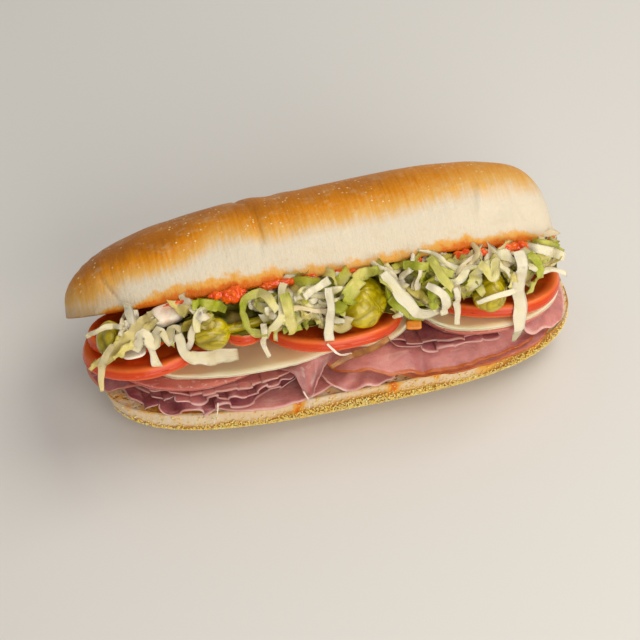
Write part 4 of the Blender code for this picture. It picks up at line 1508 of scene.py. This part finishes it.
@dataclass
class Shreds:
    """Ribbons of lettuce laid on the open face, as one joined mesh.

    Each ribbon follows a curling path on the leaning plane, rests on what is under it, rolls about
    its own length, and is cupped across its width.
    """

    face: Face
    stations: int = 26
    columns: int = 7
    front: float = -37.7
    fall: float = 11.0

    def ribbons(
        self,
        a: Array,
        b: Array,
        lift: Array,
        width: Array,
        roll: Array,
        thickness: Array,
        cup: Array,
        frill: Array,
        green: Array,
        tone: Array,
    ) -> List[Shape]:
        """Lay ribbons along paths.

        Args:
            a: places along the roll as (ribbon, station).
            b: places up the slope as (ribbon, station).
            lift: heights above what is below as (ribbon, station).
            width: half widths as (ribbon, station).
            roll: turns about the ribbon's length in radians as (ribbon, station).
            thickness: one for each ribbon.
            cup: how far the edges stand up, one for each ribbon.
            frill: how far the edges wave up and down, one for each ribbon.
            green: how green each ribbon is, as (ribbon, station).
            tone: how brown each ribbon is.

        Returns:
            One closed shape for each ribbon.
        """
        base = self.face.at(a, b)
        for _ in range(2):
            before = np.concatenate([base[:, :1], base[:, :-1]], axis=1)
            after = np.concatenate([base[:, 1:], base[:, -1:]], axis=1)
            base = 0.5 * np.maximum(base, np.maximum(before, after)) + 0.5 * (base + before + after) / 3
        base = np.maximum(base, base.max(axis=1, keepdims=True) - self.fall)
        spine = self.face.place(a, b, base + lift + np.abs(np.sin(roll)) * width * 0.8)
        way = np.gradient(spine, axis=1)
        way /= np.linalg.norm(way, axis=-1, keepdims=True) + 1e-9
        side = np.cross(np.broadcast_to(self.face.out, way.shape), way)
        side /= np.linalg.norm(side, axis=-1, keepdims=True) + 1e-9
        up = np.cross(way, side)
        cosine, sine = np.cos(roll)[..., None], np.sin(roll)[..., None]
        side, up = side * cosine + up * sine, up * cosine - side * sine
        c = np.linspace(-1, 1, self.columns)
        length = np.cumsum(np.linalg.norm(np.diff(spine, axis=1, prepend=spine[:, :1]), axis=-1), axis=1)
        starts = 2.4 * np.arange(len(a))[:, None]
        loose = np.clip((0.9 - thickness) / 0.5, 0, 1)[:, None]
        torn_left = (0.1 + 0.1 * loose) * (np.sin(length * 0.62 + 1.3 * starts) + 0.5 * loose * np.sin(length * 1.7 + starts))
        torn_right = (0.1 + 0.1 * loose) * (np.sin(length * 0.5 + 2.1 * starts) + 0.5 * loose * np.sin(length * 1.9 + 1.7 * starts))
        torn = np.where(c < 0, torn_left[..., None], torn_right[..., None]) * np.abs(c)
        across = c * width[..., None] * (1 + torn)
        slant = 0.6 * np.sin(1.9 * starts)[..., None] * across
        out = across[..., None] * side[:, :, None] + slant[..., None] * way[:, :, None]
        wave_left = np.sin(length * 1.05 + starts + np.sin(length * 0.37 + starts))
        wave_right = np.sin(length * 0.85 + 1.7 * starts + np.sin(length * 0.51))
        waves = np.where(c < 0, wave_left[..., None], wave_right[..., None]) * np.abs(c) ** 1.6
        bowl = ((c * c) * cup[:, None, None] + waves * frill[:, None, None])[..., None] * up[:, :, None]
        middle = spine[:, :, None] + out + bowl
        half = (thickness[:, None, None] / 2 * np.sqrt(1.1 - c * c)[None, None])[..., None] * up[:, :, None]
        top, low = middle + half, middle - half
        for side_ in (top, low, middle):
            side_[..., 0] = np.clip(side_[..., 0], -108.8, 99.6)
            side_[..., 1] = np.maximum(side_[..., 1], self.front)
        shapes = []
        for k in range(len(a)):
            flat = np.stack(
                np.broadcast_arrays(length[k][:, None] + 37 * k, c * width[k][:, None]), axis=-1
            )
            shade = green[k][:, None] + 0.22 * math.sin(5.1 * k) * c[None]
            values = {"green": shade, "tone": np.full(flat.shape[:2], tone[k])}
            shapes.append(shell(top[k], low[k], values, flat))
        self.face.receive(middle.reshape(-1, 3))
        return shapes

    def scattered(self, count: int, seed: int, where: Callable[[Array, Array], Tuple[Array, Array]], **look: Any) -> List[Shape]:
        """Ribbons in scattered places.

        Args:
            count: how many.
            seed: picks their places and curls.
            where: turns two rows of random shares into places (a, b).
            look: ranges of length, width, thickness, cup, curl, green, lift and roll.

        Returns:
            The ribbons' shapes.
        """
        rng = np.random.default_rng(seed)

        def pick(name: str) -> Array:
            """A random number within a range for each ribbon."""
            return rng.uniform(*look[name], size=count)

        start_a, start_b = where(rng.random(count), rng.random(count))
        s = np.linspace(-0.5, 0.5, self.stations)[None]
        length = pick("length")[:, None]
        heading = rng.uniform(*look["heading"], size=count)[:, None] * rng.choice([-1, 1], size=(count, 1))
        curl = pick("curl")[:, None] * rng.choice([-1, 1], size=(count, 1))
        wiggle = rng.uniform(0, 2 * np.pi, size=(count, 1))
        turn = heading + curl * s + 0.35 * np.sin(s * 9 + wiggle)
        step = length / self.stations
        a = np.cumsum(np.cos(turn) * step, axis=1)
        b = np.cumsum(np.sin(turn) * step, axis=1)
        a = a - a.mean(axis=1, keepdims=True) + start_a[:, None]
        b = b - b.mean(axis=1, keepdims=True) + start_b[:, None]
        b = b - np.maximum(b.max(axis=1, keepdims=True) - 42.5 + end_droop(start_a)[:, None], 0)
        taper = rng.uniform(0, 0.75, size=(count, 1))
        ends = (1 - taper * np.clip(np.abs(2 * s) - 0.35, 0, 1))
        wave = 1 + 0.18 * np.sin(s * 14 + wiggle)
        width = pick("width")[:, None] / 2 * ends * wave
        lift = look["lift"][0] + (look["lift"][1] - look["lift"][0]) * np.clip(np.sin(s * 6 + wiggle * 2), 0, 1)
        roll = pick("roll")[:, None] * np.sin(s * 5 + wiggle * 3)
        green = pick("green")[:, None] + 0.25 * s * rng.choice([-1, 1], size=(count, 1))
        clear = np.ones(count, bool)
        if "over" in look:
            i = np.clip(np.round((a - self.face.a[0]) / self.face.step).astype(int), 0, len(self.face.a) - 1)
            j = np.clip(np.round((b - self.face.b[0]) / self.face.step).astype(int), 0, len(self.face.b) - 1)
            clear = look["over"][i, j].mean(axis=1) > 0.7
        for middle_a, middle_b, radius in look["spared"]:
            apart = np.hypot(a - middle_a, b - middle_b).min(axis=1)
            clear &= apart > radius
        looks = (pick("thickness"), pick("cup"), pick("frill"), green + 0 * s, pick("tone"))
        rows = (a, b, lift, width, roll, *looks)
        return self.ribbons(*[row[clear] for row in rows])

    def drawn(self, heroes: Sequence["Strand"]) -> List[Shape]:
        """Ribbons along drawn paths, each smoothed through its own points."""
        shapes = []
        t = np.linspace(0, 1, self.stations)
        for strand in heroes:
            points = np.array(strand.path, float)
            knots = np.concatenate([[0], np.cumsum(np.linalg.norm(np.diff(points[:, :2], axis=0), axis=1))])
            knots = knots / knots[-1]
            a, b, lift = (smooth_curve(t, knots, points[:, k]) for k in range(3))
            ends = np.interp(t, np.linspace(0, 1, len(strand.widths)), strand.widths) / 2
            roll = strand.roll * np.sin(strand.turns * np.pi * t + strand.roll * 3)
            green = np.interp(t, np.linspace(0, 1, len(strand.green)), strand.green)
            rows = [row[None] for row in (a, b, lift, ends, roll)]
            one = [np.array([value]) for value in (strand.thickness, strand.cup, strand.frill)]
            shapes += self.ribbons(*rows, *one, green[None], np.array([strand.tone]))
        return shapes


def smooth_curve(t: Array, knots: Array, values: Array) -> Array:
    """Values at t on a Catmull-Rom curve through values at knots."""
    slopes = np.gradient(values, knots) if len(knots) > 1 else values * 0
    k = np.clip(np.searchsorted(knots, t, side="right") - 1, 0, len(knots) - 2)
    span = knots[k + 1] - knots[k]
    u = (t - knots[k]) / span
    start = values[k] * (2 * u**3 - 3 * u**2 + 1) + slopes[k] * span * (u**3 - 2 * u**2 + u)
    return start + values[k + 1] * (3 * u**2 - 2 * u**3) + slopes[k + 1] * span * (u**3 - u**2)


@dataclass(frozen=True)
class Strand:
    """One shred that is laid along a given path, in millimetres.

    path holds places along the roll and up the slope and a height above what is below. widths and
    green run from its start to its end. roll and turns say how it rolls about its own length.
    """

    path: Sequence[Tuple[float, float, float]]
    widths: Sequence[float]
    green: Sequence[float] = (0.1, 0.1)
    tone: float = 0.3
    thickness: float = 0.9
    cup: float = 0.2
    frill: float = 0.2
    roll: float = 0.2
    turns: float = 1.0


@dataclass
class Lettuce:
    """The heap of shredded lettuce: an uneven core in darker lettuce colours, which paint the shade in the gaps, and
    shreds over it.
    """

    sunk: float = 3.0
    spared: Sequence[Tuple[str, float]] = (
        ("pepper_left_end", 3.5),
        ("pepper_left", 8.5),
        ("pepper_centre", 8.0),
        ("pepper_right", 5.5),
        ("onion_chunk", 7.5),
        ("onion_disc", 4.5),
    )
    ribs: Sequence[Strand] = (
        Strand(((69.5, 35, 1), (69, 22, 1.5), (67.5, 8, 0.6), (65, -6, 0.3)), (4.2, 5.2, 5.4, 2.0), roll=0.15),
        Strand(((14, 37, 1), (19.5, 27, 1.5), (28, 17, 0.5), (38, 17, 0.6)), (3.4, 5.2, 4.2, 2.6), roll=0.3),
        Strand(((-8.4, 35, 1), (-9.5, 25, 1), (-11, 14, 0.4)), (3.0, 3.2, 4.2), roll=0.3),
        Strand(((-19, 33.5, 1), (-7.5, 38, 1.6)), (2.8, 3.2), roll=0.3),
        Strand(((30.4, 29, 1.5), (36.5, 23, 1.2), (37.5, 15, 0.5)), (2.4, 3.8, 3.2)),
        Strand(((41, 26, 1), (43, 18, 0.6), (42, 10, 0.4)), (2.0, 2.8, 2.2)),
        Strand(((49, 18.5, 1.5), (57, 20, 2), (66, 20, 1.4)), (1.6, 2.4, 2.0), roll=0.4),
        Strand(((74, 36, 1), (82, 33, 1), (91, 28, 0.5)), (3.0, 4.2, 3.4)),
        Strand(((-36, 26, 1), (-36.5, 18, 0.6), (-34.5, 11.5, 0.3)), (2.4, 2.2, 1.8), tone=0.6),
        Strand(((-95, 29, 1), (-99, 24, 0.8), (-101, 17, 0.5), (-102, 11, 0.3)), (2.2, 3.2, 2.8, 1.6), (0.3, 0.5), tone=0.8, roll=0.4),
        Strand(((-104, 33, 0.5), (-96, 36, 0.8), (-90, 35, 0.8)), (1.6, 2.2, 2.0), (0.2, 0.3), tone=0.6, frill=0.4),
    )
    leaves: Sequence[Strand] = (
        Strand(((-26.3, 36, 1), (-26, 28, 1.2), (-24.5, 19.5, 0.5)), (3.8, 4.6, 3.6), (0.9, 0.4, 0.6), frill=0.6),
        Strand(
            ((-31, 30, 1), (-34, 37, 2), (-40, 37, 2), (-43, 30, 1.4), (-41, 23, 1), (-35, 22, 0.8)),
            (3.0, 4.2, 3.2, 3.0, 3.4, 3.8), (0.3, 0.5, 0.9, 0.8, 0.5), frill=0.5, cup=0.6, roll=0.7,
        ),
        Strand(((-77, 37, 1), (-88, 31, 1.4), (-97, 25, 1), (-105, 20, 0.6)), (3.6, 5.2, 4.6, 2.4), (0.3, 0.5), 0.8, frill=1.3, roll=0.4),
        Strand(((-76, 35, 1), (-86, 29, 1.8), (-96, 24, 1.5)), (3.0, 4.0, 3.0), (0.4, 0.6), 0.7, frill=1.2, roll=0.6),
        Strand(
            ((-87, 25, 1), (-83, 31, 2), (-79.5, 25.5, 2), (-77, 31, 2.4), (-73, 25.5, 2), (-71, 31, 1.6), (-68, 29, 1)),
            (3.5, 5, 5, 5, 5, 4), (0.05, 0.2), 0.6, frill=0.5, roll=1.1, turns=0.4,
        ),
        Strand(((-69, 28, 1), (-67, 19, 0.8), (-58, 15.5, 0.5), (-46, 14.5, 0.4)), (3.0, 4.6, 6.2, 5.0), (0.1, 0.15), 0.55, frill=0.8, roll=0.2),
        Strand(((23.5, 38, 1), (32, 36, 1.5), (41.5, 31, 1)), (3.0, 4.2, 3.0), (0.9, 0.7), frill=0.5),
        Strand(((34, 39, 1.5), (36, 32, 2), (40, 25, 1)), (3.2, 4.0, 2.4), (0.8, 0.5), frill=0.3),
        Strand(((-3, 28, 1.2), (0.5, 33, 2), (6, 37, 2), (13, 38.5, 1)), (5.0, 6.5, 5.5, 3.0), (0.95, 0.5, 0.8), frill=1.2, cup=0.8),
        Strand(((17, 27, 0.6), (21, 22, 0.5), (26, 17, 0.4), (30, 14.5, 0.3)), (6.5, 7.5, 5.0, 2.0), (0.9, 0.8), frill=0.4),
        Strand(((52, 34, 1), (57, 27, 2), (60, 33, 2), (64, 26, 1)), (3.2, 3.4, 3.4, 2.6), (0.5, 0.2), frill=0.8, roll=0.8),
        Strand(((73, 34, 1), (77, 28, 1.2), (75.5, 20, 1), (72, 17, 0.5)), (3.0, 3.4, 3.2, 2.0), (0.9, 0.7), frill=0.7, roll=0.7),
        Strand(((78, 37, 1), (85, 34.5, 1), (92, 30, 0.5)), (3.0, 3.8, 2.6), (0.8, 0.9), frill=0.5),
        Strand(((-62, 38, 1), (-54, 36.5, 1.4), (-48, 33, 1)), (4.0, 5.0, 3.0), (0.9, 0.8), frill=0.6),
    )

    def core(self) -> Shape:
        """The CAD heap's upper surface, sunk and roughened, over its own underside."""
        points = node_points("lettuce_heap")
        low, high = points.min(axis=0), points.max(axis=0)
        step = 1.5
        counts = np.ceil((high - low) / step).astype(int)[:2] + 1
        top = np.full(counts, -np.inf)
        base = np.full(counts, np.inf)
        i, j = np.round((points[:, :2] - low[:2]) / step).astype(int).T
        np.maximum.at(top, (i, j), points[:, 2])
        np.minimum.at(base, (i, j), points[:, 2])
        filled = np.isfinite(top)
        first = np.where(filled.any(axis=1), filled.argmax(axis=1), 0)
        last = np.where(filled.any(axis=1), counts[1] - 1 - filled[:, ::-1].argmax(axis=1), 0)
        rows = np.nonzero(last - first > 3)[0]
        t = np.linspace(0, 1, 26)
        column = first[rows, None] + 1 + (last - first - 2)[rows, None] * t
        near = np.clip(np.round(column).astype(int), 0, counts[1] - 1)
        x = low[0] + rows[:, None] * step + 0 * t
        y = low[1] + column * step
        upper, under = top[rows[:, None], near], base[rows[:, None], near]
        upper = np.where(np.isfinite(upper), upper, np.nanmedian(upper[np.isfinite(upper)]))
        under = np.where(np.isfinite(under), under, upper - 2)
        plan = np.stack([x, y, upper * 0.5], axis=-1)
        rough = 1.2 * ripples(plan, 5, 801) + 0.7 * ripples(plan, 3.2, 804)
        raised = np.maximum(upper - self.sunk + rough, under + 0.6)
        top_points = np.stack([x, y, raised], axis=-1)
        low_points = np.stack([x, y, under + 0.2], axis=-1)
        values = {"green": 0.75 + 0.3 * ripples(plan, 7, 802), "tone": 0.5 + 0.4 * ripples(plan, 9, 803)}
        return shell(top_points, low_points, values, np.stack([x, y], axis=-1))

    def build(self, face: Face) -> None:
        """Make the core and the scattered shreds."""
        # Painted shade: the core is coloured as shaded lettuce, darker than the shreds, to stand for the shade in the
        # gaps between them.
        core_finish = LeafFinish("lettuce_core_painted_shade", srgb(196, 176, 108), srgb(150, 132, 44), srgb(84, 92, 14))
        before = face.height.copy()
        core = self.core()
        add_piece("lettuce_core", core, core_finish.make(), ["lettuce_heap"])
        face.receive(denser(core.points[: len(core.points) // 2].reshape(-1, 26, 3), 3))
        bare = face.height > before + 0.3
        face.smooth(1)
        shreds = Shreds(face)

        def band(
            low: float, high: float, first: float = -86, last: float = 82
        ) -> Callable[[Array, Array], Tuple[Array, Array]]:
            """Places in a band up the slope, which closes in towards the roll's ends."""

            def where(p: Array, q: Array) -> Tuple[Array, Array]:
                """Places for two rows of shares."""
                a = first + (last - first) * p
                return a, low + (high - low) * q - 2.0 * (np.abs(a + 4) / 94) ** 4

            return where

        spared = []
        for node, radius in self.spared:
            middle = node_middle(node)
            spared.append((middle[0], float(middle @ face.up_slope), radius))
        common = dict(heading=(0.0, 1.25), lift=(0.1, 1.6), spared=spared)
        leaf = LeafFinish("lettuce_leaf").make()
        rib = LeafFinish("lettuce_rib", srgb(238, 228, 200), srgb(228, 216, 154), srgb(186, 194, 78)).make()
        small = dict(length=(5, 15), curl=(0.0, 2.4), roll=(0.1, 1.0), over=bare, **common)
        leaves = shreds.scattered(
            260, 930, band(12, 34), width=(2.0, 4.6), thickness=(0.3, 0.5), cup=(-0.5, 0.9), frill=(0.2, 1.0),
            green=(0.2, 0.9), tone=(0.2, 1.0), **small,
        )
        ribs = shreds.scattered(
            160, 931, band(12, 34), width=(1.4, 3.0), thickness=(0.5, 0.9), cup=(-0.3, 0.4), frill=(0.0, 0.4),
            green=(-0.1, 0.4), tone=(0.2, 1.0), **small,
        )
        loose = dict(length=(4, 13), curl=(0.0, 2.4), roll=(0.1, 1.0), **common)
        for seed, (first, last, low) in enumerate(((-98, -66, 30), (-66, -36, 33), (70, 92, 31))):
            leaves += shreds.scattered(
                26, 940 + seed, band(low, 39, first, last), width=(1.8, 4.2), thickness=(0.3, 0.5),
                cup=(-0.5, 0.9), frill=(0.2, 1.0), green=(0.2, 1.1), tone=(0.1, 1.0), **loose,
            )
            ribs += shreds.scattered(
                24, 945 + seed, band(low, 39, first, last), width=(1.4, 3.0), thickness=(0.5, 1.0),
                cup=(-0.3, 0.4), frill=(0.0, 0.4), green=(-0.1, 0.4), tone=(0.1, 1.0), **loose,
            )
        for seed, (low, high) in enumerate(((30, 41), (28, 41), (26, 41))):
            leaves += shreds.scattered(
                52, 900 + seed, band(low, high), length=(10, 30), width=(2.4, 5.6), thickness=(0.3, 0.5),
                cup=(-0.5, 0.9), frill=(0.3, 1.2), curl=(0.0, 2.6), green=(0.25, 1.0), roll=(0.1, 1.2),
                tone=(0.0, 1.0), **common,
            )
            ribs += shreds.scattered(
                34, 950 + seed, band(low, high), length=(9, 30), width=(1.5, 3.6), thickness=(0.6, 1.1),
                cup=(-0.3, 0.4), frill=(0.0, 0.4), curl=(0.0, 1.9), green=(-0.1, 0.45), roll=(0.1, 0.7),
                tone=(0.0, 0.9), **common,
            )
        leaves += shreds.drawn(self.leaves)
        ribs += shreds.drawn(self.ribs)
        add_piece("lettuce_leaf_shreds", Shape.join(leaves), leaf)
        add_piece("lettuce_rib_shreds", Shape.join(ribs), rib)


# ---------------------------------------------------------------- relish and small bits


@dataclass(frozen=True)
class Clump:
    """A wet clump of relish: its middle along the roll and up the slope, half sizes and depth."""

    a: float
    b: float
    half_a: float
    half_b: float
    deep: float = 2.2

    def shape(self, face: Face, out: float, seed: int) -> Shape:
        """A lumpy blob whose outline wanders, as a closed shell.

        It is a square grid squeezed into a disc. Its height falls from the middle to nothing at its
        outline, and swells over the chopped bits in it.
        """
        line = np.sin(np.linspace(-1, 1, 40) * np.pi / 2)
        u, v = np.meshgrid(line, line, indexing="ij")
        x, y = u * np.sqrt(1 - 0.5 * v * v), v * np.sqrt(1 - 0.5 * u * u)
        reach = np.sqrt(x * x + y * y)
        circle = np.stack([x, y], axis=-1) / (reach + 1e-6)[..., None]
        outline = 1 + 0.24 * ripples(circle, 0.9, 1100 + seed) + 0.12 * ripples(circle, 0.4, 1200 + seed)
        a = self.a + self.half_a * x * (1 + (outline - 1) * reach)
        b = self.b + self.half_b * y * (1 + (outline - 1) * reach) - end_droop(a)
        plan = np.stack([a, b], axis=-1)
        bits = np.abs(ripples(plan, 4.6, 1300 + seed)) + 0.3 * np.abs(ripples(plan, 2.4, 1400 + seed))
        height = self.deep * np.sqrt(np.clip(1 - reach**2, 0, 1)) * (0.75 + 0.5 * bits)
        top = face.place(a, b, out + height)
        low = face.place(a, b, out - 0.3 - 0.2 * height)
        return shell(top, low, {}, plan)


@dataclass
class Relish:
    """Bright, wet, chopped relish that clings to the crown's cut edge, and small bits over the side."""

    clumps: Sequence[Clump] = (
        Clump(-45, 38.8, 5.6, 3.4, 2.6),
        Clump(-51, 39.6, 4.0, 1.6, 1.6),
        Clump(-29, 39.6, 5.0, 1.9, 1.8),
        Clump(-22, 39.8, 5.4, 1.7, 1.8),
        Clump(-13.5, 39.6, 3.0, 1.3, 1.4),
        Clump(-2, 38.9, 3.6, 1.9, 1.8),
        Clump(3.5, 38.5, 3.2, 1.6, 1.6),
        Clump(29.5, 37.4, 3.4, 2.4, 2.0),
        Clump(49, 37.2, 4.6, 2.8, 2.4),
        Clump(55, 38.0, 3.6, 2.0, 1.8),
        Clump(67.5, 38.8, 5.4, 2.4, 2.2),
        Clump(73, 38.0, 3.0, 3.4, 2.0),
        Clump(80, 38.6, 4.4, 1.0, 1.0),
        Clump(-66, 39.4, 6.0, 0.9, 1.0),
    )
    edge_out: float = 59.6

    def build(self, face: Face) -> None:
        """Make the relish, a strip of browned rind, threads of onion and a bit of carrot."""
        shapes = [clump.shape(face, self.edge_out, k) for k, clump in enumerate(self.clumps)]
        finish = PlainFoodFinish("pepper_relish", srgb(228, 68, 2), srgb(242, 104, 10), 3.0, 0.14, 0.2, 0.2)
        add_piece("pepper_relish", Shape.join(shapes), finish.make())
        shreds = Shreds(face)
        rind = shreds.drawn(
            (Strand(((-10, 2.0, 0.4), (2, 6, 0.8), (13.5, 10, 0.4)), (1.6, 3.2, 2.0), (0.5, 0.5), thickness=0.8, frill=0.4),)
        )
        tan = PlainFoodFinish("browned_rind", srgb(150, 92, 36), srgb(184, 124, 58), 4, 0.4, 0.3, 0.1)
        add_piece("ham_rind_strip", Shape.join(rind), tan.make())
        strings = shreds.drawn(
            (
                Strand(((-57, -3.5, 0.4), (-57.6, -8, 0.3), (-59, -13, 0.3)), (0.6, 0.5, 0.4), (0, 0), thickness=0.4),
                Strand(((-22, -6, 0.4), (-20.5, -10, 0.3), (-20, -14, 0.3)), (0.6, 0.5, 0.4), (0, 0), thickness=0.4),
                Strand(((-12, 13, 0.5), (-8, 8, 0.4), (-1, 6, 0.4)), (0.8, 0.9, 0.6), (0, 0), thickness=0.4),
            )
        )
        pale = PlainFoodFinish("onion_thread", srgb(246, 218, 196), srgb(250, 232, 214), 4, 0.3, 0.1, 0.3)
        add_piece("onion_threads", Shape.join(strings), pale.make())
        middle = face.place(np.array(27.4), np.array(11.7), face.at(np.array(27.4), np.array(11.7)) + 0.7)
        bit = Lump((6.2, 3.8, 2.0), (35, 0, -12), 5.0, 0.05, 9).shape().moved(shift=middle)
        carrot = PlainFoodFinish("carrot", srgb(240, 140, 20), srgb(250, 164, 50), 3, 0.3, 0.2, 0.2)
        add_piece("carrot_bit", bit, carrot.make())


# ---------------------------------------------------------------- light and camera


@dataclass
class Studio:
    """A pale floor, soft light and the camera."""

    azimuth: float = -14.0
    elevation: float = 50.0
    distance: float = 880.0
    lens: float = 120.9
    target: Tuple[float, float, float] = (-7.5, -5.0, 32.0)

    def build(self) -> None:
        """Make the floor, the lights and the camera."""
        self.floor()
        self.lights()
        self.camera()

    def floor(self) -> None:
        """A plain pale floor."""
        mesh = bpy.data.meshes.new("floor")
        reach = 4.0
        corners = [(-reach, -reach, 0), (reach, -reach, 0), (reach, reach, 0), (-reach, reach, 0)]
        mesh.from_pydata(corners, [], [(0, 1, 2, 3)])
        shader = Shader("floor")
        mesh.materials.append(shader.finish(Base_Color=srgb(224, 222, 219), Roughness=0.8))
        floor = bpy.data.objects.new("floor", mesh)
        bpy.context.scene.collection.objects.link(floor)

    def lights(self) -> None:
        """An even sky, a large soft key light behind on the right and a weak one in front."""
        world = bpy.data.worlds.new("sky")
        world.use_nodes = True
        world.node_tree.nodes["Background"].inputs["Color"].default_value = (1.0, 0.985, 0.96, 1)
        world.node_tree.nodes["Background"].inputs["Strength"].default_value = 0.34
        bpy.context.scene.world = world
        self.area("key", (0.46, 0.06, 0.80), 0.6, 3.9)
        self.area("fill", (0.20, -0.86, 0.46), 0.8, 6.4)

    def area(self, name: str, place: Tuple[float, float, float], size: float, power: float) -> None:
        """A square area light that points at the sandwich."""
        data = bpy.data.lights.new(name, "AREA")
        data.size = size
        data.energy = power
        data.color = (1.0, 0.95, 0.86)
        lamp = bpy.data.objects.new(name, data)
        lamp.location = place
        lamp.rotation_euler = (Vector((0, 0, 0.03)) - Vector(place)).to_track_quat("-Z", "Y").to_euler()
        bpy.context.scene.collection.objects.link(lamp)

    def camera(self) -> None:
        """The camera, by its angles and distance from what it looks at."""
        a, e = math.radians(self.azimuth), math.radians(self.elevation)
        back = np.array([math.sin(a) * math.cos(e), -math.cos(a) * math.cos(e), math.sin(e)])
        aim = (np.array(self.target) + ORIGIN) * MM
        data = bpy.data.cameras.new("camera")
        data.lens = self.lens
        data.sensor_width = 36.0
        camera = bpy.data.objects.new("camera", data)
        camera.location = aim + back * self.distance * MM
        camera.rotation_euler = Vector(back).to_track_quat("Z", "Y").to_euler()
        bpy.context.scene.collection.objects.link(camera)
        bpy.context.scene.camera = camera
        bpy.context.scene.view_settings.view_transform = "Standard"


def scene_points() -> Array:
    """Points of every piece made so far, in this script's millimetres."""
    found = []
    for piece in bpy.context.scene.collection.objects:
        if piece.type == "MESH" and piece.name != "floor" and piece.name not in frame["nodes"]:
            places = np.empty(len(piece.data.vertices) * 3)
            piece.data.vertices.foreach_get("co", places)
            found.append(places.reshape(-1, 3) / MM - ORIGIN)
    return np.concatenate(found)


def main() -> None:
    """Build the sandwich from the roll up, then the studio."""
    logging.basicConfig(level=logging.INFO, format="%(message)s")
    Crown().build()
    Heel().build()
    Cornmeal().build()
    pile = Pile()
    ColdCuts().build(pile)
    Toppings().build(pile)
    face = Face()
    crown = bpy.data.objects["crown"]
    bpy.context.scene.collection.objects.unlink(crown)
    face.receive(scene_points())
    bpy.context.scene.collection.objects.link(crown)
    face.smooth(1)
    Lettuce().build(face)
    Relish().build(face)
    Studio().build()


if __name__ == "__main__":
    main()
